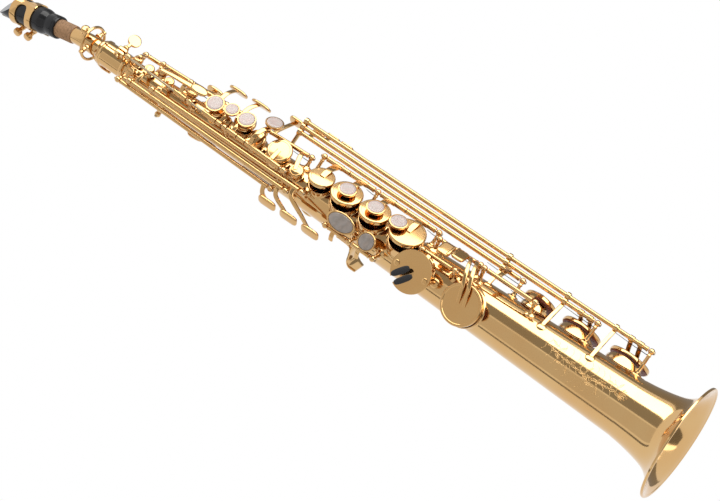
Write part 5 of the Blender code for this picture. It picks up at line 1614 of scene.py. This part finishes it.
class SAX_OT_little_finger(bpy.types.Operator):
    """Left little finger table with the long rods to the bell keys"""
    bl_idname = "sax.little_finger"
    bl_label = "Little finger keys"

    def execute(self, context):
        table = long_rod_radius(2) + 0.25
        step = 12.2
        sharp = between_posts("g_sharp", "g_sharp")
        z, turn = sharp.hole[:2]
        sharp.arm(z + 6.0, place(sharp.cup_top() + 2.2, -20.0, z + 5.5),
                  place(sharp.cup_top() - 0.2, turn, z + 1.0))
        sharp.cup()
        z = LONG_ROD_TOP_Z + 13.0
        sharp.arm(z + 2.0, above(12.9, -54.0, z + 1.5), place(table - 8.5, -71.0, z + 0.5),
                  place(table - 1.5, -80.0, z))
        sharp.touch(place(table - 1.0, -80.5, z), 13.0, 11.0)
        sharp.done()
        for order, name in enumerate(LONG_ROD_BOTTOMS):
            z = LONG_ROD_TOP_Z - 7.5 - step * order
            reach = long_rod_radius(order)
            if name == "c_sharp_lever":
                key = between_posts(name, ending="", top_gap=1.8)
                low = at("low_c_sharp", 29.0)
                tip = place(reach + 3.1, -41.0, low)
                key.arm(low, place(reach + 2.5, -50.0, low), tip)
                key.bumper(tip - outward(-41.0) * 2.6, outward(-41.0), 1.5, 2.0)
            else:
                key = between_posts(name, name, True, top_gap=1.8)
                hole_z, turn = key.hole[:2]
                top = key.cup_top()
                for shift in (-4.0, 4.0):
                    key.collar(hole_z + shift, 4.2)
                    key.arm(hole_z + shift, place(top + 5.0, turn + 18.0, hole_z + shift),
                            place(top, turn, hole_z + shift))
                key.cup(f"{name}_pad")
            key.arm(z, place((reach + table) / 2.0, -69.0, z), place(table - 0.5, -79.0, z))
            key.touch(place(table, -80.0, z), step - 1.0, 9.8, power=0.45, crown=0.05)
            key.done()
        return {"FINISHED"}


class SAX_OT_low_keys(bpy.types.Operator):
    """Low C sharp, low C and low E flat keys"""
    bl_idname = "sax.low_keys"
    bl_label = "Low keys"

    def execute(self, context):
        c_sharp = between_posts("low_c_sharp", "low_c_sharp", True)
        z, turn = c_sharp.hole[:2]
        top = c_sharp.cup_top()
        c_sharp.arm(z + 1.0, above(10.9, -36.0, z + 1.0), above(9.4, -56.0, z), place(top + 1.4, -72.0, z),
                    place(top, turn, z), width=4.6)
        c_sharp.cup()
        link = z + 29.0
        c_sharp.arm(link, above(11.8, -32.0, link), above(11.6, -42.0, link))
        c_sharp.done()
        low_c = between_posts("low_c", "low_c", True)
        z, turn = low_c.hole[:2]
        for shift in (-2.6, 2.6):
            low = z + shift
            low_c.arm(low + 17.0, above(14.4, -12.0, low + 12.0), above(14.8, 10.0, low + 7.0),
                      above(11.6, 32.0, low + 2.0), place(low_c.cup_top(), turn, low), width=3.0)
        low_c.cup("low_c_pad")
        e_flat = at("low_e_flat")
        low_c.arm(e_flat - 18.0, above(11.4, -20.0, e_flat - 19.5), above(11.7, -13.0, e_flat - 21.0))
        self.roller_touch(low_c, above(12.1, -11.0, e_flat - 21.0), 1.0)
        low_c.done()
        low_e = between_posts("low_e_flat", "low_e_flat")
        z, _, radius = low_e.hole
        low_e.arm(z - 2.6, low_e.over_cup(2.4 - radius, 0.8, -2.6), low_e.over_cup(rise=-1.0))
        low_e.cup()
        low = e_flat - 9.4
        low_e.arm(low, above(11.5, -2.0, low), above(12.1, -10.0, low))
        self.roller_touch(low_e, above(12.5, -11.0, low), -1.0)
        low_e.done()
        return {"FINISHED"}

    def roller_touch(self, key, centre, side):
        """A finger plate with a roller along the edge next to its neighbour."""
        key.touch(centre, 10.8, 13.0, power=0.5, crown=0.2)
        turn = turn_of(centre)
        start = centre + UP * (side * 4.1) + outward(turn) * 0.75 - sideways(turn) * 5.2
        roller = [(0.5, 0.0), (1.2, 0.15), (1.3, 0.6), (1.3, 9.8), (1.2, 10.25), (0.5, 10.4)]
        key.piece.add(turned(roller, start, sideways(turn), 20), "keys")


class SAX_OT_high_levers(bpy.types.Operator):
    """High F sharp and high G levers, their pearls darkened with painted shade"""
    bl_idname = "sax.high_levers"
    bl_label = "High levers"

    def execute(self, context):
        levers = {
            "high_f_sharp": (at("e", 14.5), 3.5, 45.0, 9.9, 1.7),
            "high_g": (at("e", -10.0), 4.0, 47.0, 9.3, 1.0),
        }
        for name, (z, tail, turn, rise, stretch) in levers.items():
            key = between_posts(name, ending="lever")
            finger = above(rise + 0.2, turn, z)
            key.arm(z, above(rise, turn + 11.0, z), above(rise + 0.2, turn + 1.0, z))
            key.arm(z + tail, above(rise + 0.7, 76.0, z + tail), above(rise + 0.7, 86.0, z + tail))
            # These pearls take the darkened pearl finish, which is painted shade
            key.pearl(finger, f"{name}_pearl", stem=1.0, finish="grey_pearl", stretch=stretch)
            key.done()
        return {"FINISHED"}


class SAX_OT_octave_keys(bpy.types.Operator):
    """Octave thumb lever and the ring key on the neck"""
    bl_idname = "sax.octave_keys"
    bl_label = "Octave keys"

    def execute(self, context):
        pivot = OCTAVE_PIVOT
        reach = RECEIVER_RADIUS + RECEIVER_RIM
        lever = Piece("octave_thumb_lever_made", "octave_thumb_lever")
        half = OCTAVE_HALF_SPAN - PIVOT_GAP
        shaft = [(0.5, -half), (1.6, -half), (1.9, -half + 0.2), (1.9, -half + 1.0), (1.7, -half + 1.2),
                 (1.7, half - 1.2), (1.9, half - 1.0), (1.9, half - 0.2), (1.6, half), (0.5, half)]
        lever.add(turned(shaft, pivot, ACROSS, 18), "keys")
        path = [Vector((0.0, reach + 3.0, RECEIVER_TOP_Z - 3.5)), Vector((0.0, reach + 4.5, BODY_TOP_Z)),
                pivot.copy(), pivot + Vector((0.0, 2.0, -20.0)), pivot + Vector((0.0, 4.0, -34.0))]
        lever.add(bar(path, [3.2, 3.6, 5.0, 5.0, 6.0], 1.8, ACROSS, 8), "keys")
        lever.add(plate(path[-1] + BACK * 0.3, BACK - UP * 0.15, UP, 17.0, 11.0, stock("touch_thickness"),
                        0.6, 0.4), "keys")
        lever.make(["octave_thumb_lever"])
        ring = Piece("octave_neck_key_made", "octave_neck_key")
        side = OCTAVE_NECK_PIVOT
        wide = 13.1
        loop = []
        for c, s in circle(56):
            y = -1.0 + 13.5 * c
            loop.append(Vector((wide * s, y, side.z - 0.15 * (y + 2.0))))
        ring.add(wire(loop, 1.2, closed=True, facets=14), "keys")
        hub = [(1.0, -1.1), (1.9, -0.9), (2.1, 0.0), (1.9, 0.9), (1.0, 1.1)]
        for sign in (-1.0, 1.0):
            ring.add(turned(hub, side + ACROSS * (sign * wide), ACROSS, 20), "keys")
        tail = [Vector((0.0, 12.3, side.z - 2.1)), Vector((0.0, reach + 7.0, RECEIVER_TOP_Z + 2.5)),
                Vector((0.0, reach + 6.4, RECEIVER_TOP_Z - 7.0))]
        ring.add(bar(tail, [4.0, 5.0, 6.0], 1.8, ACROSS, 8), "keys")
        base = -OCTAVE_PIP_REACH - GAP
        cup = [(2.2, 0.3), (3.2, 0.0), (3.55, 0.5), (3.6, 1.8), (3.3, 2.4), (2.4, 2.8), (0.8, 2.95)]
        ring.add(turned(cup, Vector((0.0, base, OCTAVE_PIP_Z)), BACK * -1.0, 30), "keys")
        ring.add(turned([(2.6, -0.15), (2.9, 0.0), (2.9, 0.6)], Vector((0.0, base, OCTAVE_PIP_Z)),
                        BACK * -1.0, 24), "cork")
        link = [Vector((0.0, -14.4, side.z + 1.4)), Vector((0.0, -14.2, side.z + 4.0)),
                Vector((0.0, -12.7, OCTAVE_PIP_Z - 0.6))]
        ring.add(bar(link, [2.7, 2.7, 2.7], 1.5, ACROSS), "keys")
        ring.make(["octave_neck_key"])
        return {"FINISHED"}


class SAX_OT_rods(bpy.types.Operator):
    """Steel rods of the two stacks and the needle springs"""
    bl_idname = "sax.rods"
    bl_label = "Rods and springs"

    def execute(self, context):
        for name, line in (("upper_stack_rod", UPPER), ("lower_stack_rod", LOWER)):
            rod = Piece(f"{name}_ground", "instrument")
            start = line.low - line.axis * 2.2
            span = (line.high - line.low).length + 4.4
            radius = stock("rod_radius")
            steel = [(radius - 0.25, 0.0), (radius, 0.3), (radius, span - 0.3), (radius - 0.25, span)]
            rod.add(turned(steel, start, line.axis, sides("rod_sides")), "steel")
            rod.make([name])
        springs = Piece("needle_springs", "instrument")
        for line in LINES.values():
            span = (line.high - line.low).length
            self.spring(springs, line.low, line.axis, min(SPRING_LIMIT, 0.45 * span))
        for line, posts in ((UPPER, UPPER_POSTS[:3]), (LOWER, LOWER_POSTS[:2])):
            for z in posts:
                self.spring(springs, line.point(z), line.axis, STACK_SPRING)
        springs.make()
        return {"FINISHED"}

    def spring(self, piece, post, axis, reach):
        """A needle spring from a post, under the shaft it works on."""
        under = outward(turn_of(post))
        root = post - under * 3.6
        points = [root, root + axis * (0.5 * reach) + under * 0.15, root + axis * reach + under * 0.7]
        piece.add(wire(points, stock("spring_radius"), facets=8, taper=0.55), "spring")


# Stage

CAMERA_PLACE = Vector((-0.8544, -1.3167, -0.2630))
CAMERA_RIGHT = Vector((0.6205, -0.0769, -0.7804))
CAMERA_UP = Vector((0.598, -0.5973, 0.5343))
LAMP_AIM = Vector((0.0, 0.0, 0.32))
LAMPS = {
    "key_lamp": (Vector((0.9, -1.3, 1.6)), 1.1, 15.0),
    "fill_lamp": (Vector((-1.4, -0.9, 0.9)), 1.4, 6.0),
    "back_lamp": (Vector((0.2, 1.6, 1.3)), 1.2, 9.0),
}
SKY_ON_OBJECT = 0.45
FLOOR_DROP = 0.0004
FLOOR_FACETS = 48
FLOOR_RINGS = 8
FLOOR_FADE = (0.45, 1.5)

# Studio panels: first and last angle, strength, and the (radius, height) of both edges
WALL = ((1.9, -1.5), (1.9, 2.4))
GROUND = ((0.3, -1.5), (1.9, -1.5))
PANELS = {
    "soft_box": (-85.0, -38.0, 5.0, WALL),
    "front_shade": (-124.0, -88.0, 0.36, WALL),
    "near_wall": (-184.0, -129.0, 0.74, WALL),
    "dark_edge": (-199.0, -192.0, 0.24, WALL),
    "far_shade": (-24.0, 40.0, 0.3, WALL),
    "under_shade": (-166.0, -102.0, 0.22, GROUND),
    "under_glow": (-98.0, -76.0, 3.0, GROUND),
}


class SAX_OT_stage(bpy.types.Operator):
    """Camera, pale floor, soft light and reflected studio walls"""
    bl_idname = "sax.stage"
    bl_label = "Stage"

    def execute(self, context):
        scene = context.scene
        scene.view_settings.view_transform = "Standard"
        camera = bpy.data.cameras.new("camera")
        camera.lens = 112.5
        camera.sensor_width = 36.0
        camera.clip_end = 50.0
        eye = bpy.data.objects.new("camera", camera)
        right = CAMERA_RIGHT.normalized()
        back = right.cross(CAMERA_UP).normalized()
        up = back.cross(right)
        turn = Matrix((right, up, back)).transposed().to_4x4()
        eye.matrix_world = Matrix.Translation(CAMERA_PLACE) @ turn
        scene.collection.objects.link(eye)
        scene.camera = eye
        self.world(scene)
        self.floor(scene)
        for name, (start, end, strength, edges) in PANELS.items():
            self.panel(scene, name, start, end, strength, edges)
        for name, (spot, size, power) in LAMPS.items():
            self.lamp(scene, name, spot, size, power)
        return {"FINISHED"}

    def world(self, scene):
        """Even grey light on the object, and white where it is seen or mirrored."""
        world = bpy.data.worlds.new("studio")
        world.use_nodes = True
        world.node_tree.nodes["Background"].inputs["Color"].default_value = (1.0, 1.0, 1.0, 1.0)
        sky = Nodes(world.node_tree)
        seen, mirrored, passed = [sky.node("ShaderNodeLightPath", output=f"Is {kind} Ray")
                                  for kind in ("Camera", "Glossy", "Transmission")]
        strength = sky.node("ShaderNodeMapRange", None, {
            "Value": seen + mirrored + passed, "To Min": SKY_ON_OBJECT, "To Max": 1.0})
        sky.link(strength, "Background", "Strength")
        scene.world = world

    def floor(self, scene):
        """A pale round floor that fades out at its edge and is clear from below."""
        finish = Finish("pale_floor", Roughness=0.9)
        shade = tuple(scene.sax_colours.floor)
        tooth = finish.noise(40.0, 4.0)
        finish.feed("Base Color", finish.blend(tooth, shaded(shade, 0.985), shaded(shade, 1.01)))
        reach = finish.node("ShaderNodeVectorMath", {"operation": "LENGTH"}, {0: finish.where()},
                            output="Value")
        fade = finish.ramp(reach, *FLOOR_FADE)
        underside = finish.node("ShaderNodeNewGeometry", output="Backfacing")
        mask = finish.node("ShaderNodeClamp", None, {"Value": fade + underside * 2.0})
        pale = Term(finish, finish.shader.outputs[0])
        clear = finish.node("ShaderNodeBsdfTransparent")
        mix = finish.node("ShaderNodeMixShader", None, {0: mask, 1: pale, 2: clear})
        finish.link(mix, "Material Output", "Surface")
        verts, faces = [], []
        for i in range(FLOOR_RINGS + 1):
            radius = 0.02 + 1.58 * i / FLOOR_RINGS
            verts.extend((radius * c, radius * s, -FLOOR_DROP) for c, s in circle(FLOOR_FACETS))
        for i in range(FLOOR_RINGS):
            near, far = i * FLOOR_FACETS, (i + 1) * FLOOR_FACETS
            for k in range(FLOOR_FACETS):
                j = (k + 1) % FLOOR_FACETS
                faces.append((near + k, far + k, far + j, near + j))
        faces.append(tuple(range(FLOOR_FACETS)))
        mesh = bpy.data.meshes.new("floor")
        mesh.from_pydata(verts, [], faces)
        mesh.materials.append(finish.material)
        floor = bpy.data.objects.new("floor", mesh)
        floor.visible_glossy = False
        floor.visible_diffuse = False
        floor.visible_shadow = False
        scene.collection.objects.link(floor)

    def panel(self, scene, name, start, end, strength, edges):
        """A curved studio wall that only shows in reflections."""
        finish = Finish(f"{name}_glow")
        glow = finish.node("ShaderNodeEmission", None,
                           {"Color": (1.0, 0.985, 0.96, 1.0), "Strength": strength})
        finish.link(glow, "Material Output", "Surface")
        verts, faces = [], []
        steps = 16
        for i in range(steps + 1):
            angle = math.radians(start + (end - start) * i / steps)
            for radius, z in edges:
                verts.append((radius * math.cos(angle), radius * math.sin(angle), z))
        for i in range(steps):
            faces.append((2 * i, 2 * i + 2, 2 * i + 3, 2 * i + 1))
        mesh = bpy.data.meshes.new(name)
        mesh.from_pydata(verts, [], faces)
        mesh.materials.append(finish.material)
        wall = bpy.data.objects.new(name, mesh)
        wall.visible_camera = False
        wall.visible_diffuse = False
        wall.visible_shadow = False
        scene.collection.objects.link(wall)

    def lamp(self, scene, name, spot, size, power):
        """A square soft lamp that faces the middle of the instrument."""
        light = bpy.data.lights.new(name, "AREA")
        light.shape = "SQUARE"
        light.size = size
        light.energy = power
        lamp = bpy.data.objects.new(name, light)
        lamp.location = spot
        lamp.rotation_euler = (LAMP_AIM - spot).to_track_quat("-Z", "Y").to_euler()
        lamp.visible_glossy = False
        lamp.visible_camera = False
        scene.collection.objects.link(lamp)


OPERATORS = (
    SAX_OT_body, SAX_OT_bell, SAX_OT_engraving, SAX_OT_neck, SAX_OT_mouthpiece, SAX_OT_fittings,
    SAX_OT_rods, SAX_OT_lower_stack, SAX_OT_upper_stack, SAX_OT_palm_keys, SAX_OT_side_keys,
    SAX_OT_little_finger, SAX_OT_low_keys, SAX_OT_high_levers, SAX_OT_octave_keys, SAX_OT_stage,
)


class SAX_PT_panel(bpy.types.Panel):
    """Sizes, colours and steps of the saxophone"""
    bl_idname = "SAX_PT_panel"
    bl_label = "Saxophone"
    bl_space_type = "VIEW_3D"
    bl_region_type = "UI"
    bl_category = "Saxophone"

    def draw(self, context):
        for group in (context.scene.sax_sizes, context.scene.sax_colours):
            box = self.layout.box()
            for name in group.__annotations__:
                box.prop(group, name)
        for operator in OPERATORS:
            self.layout.operator(operator.bl_idname)


CLASSES = (SaxSizes, SaxColours, *OPERATORS, SAX_PT_panel)


def register():
    """Register the classes and put the settings on the scene."""
    for item in CLASSES:
        bpy.utils.register_class(item)
    bpy.types.Scene.sax_sizes = bpy.props.PointerProperty(type=SaxSizes)
    bpy.types.Scene.sax_colours = bpy.props.PointerProperty(type=SaxColours)


def unregister():
    """Take the settings off the scene and unregister the classes."""
    del bpy.types.Scene.sax_colours
    del bpy.types.Scene.sax_sizes
    for item in reversed(CLASSES):
        bpy.utils.unregister_class(item)


def main():
    """Build every piece and the stage."""
    register()
    for operator in OPERATORS:
        family, name = operator.bl_idname.split(".")
        getattr(getattr(bpy.ops, family), name)()
    bpy.context.view_layer.update()


if __name__ == "__main__":
    main()
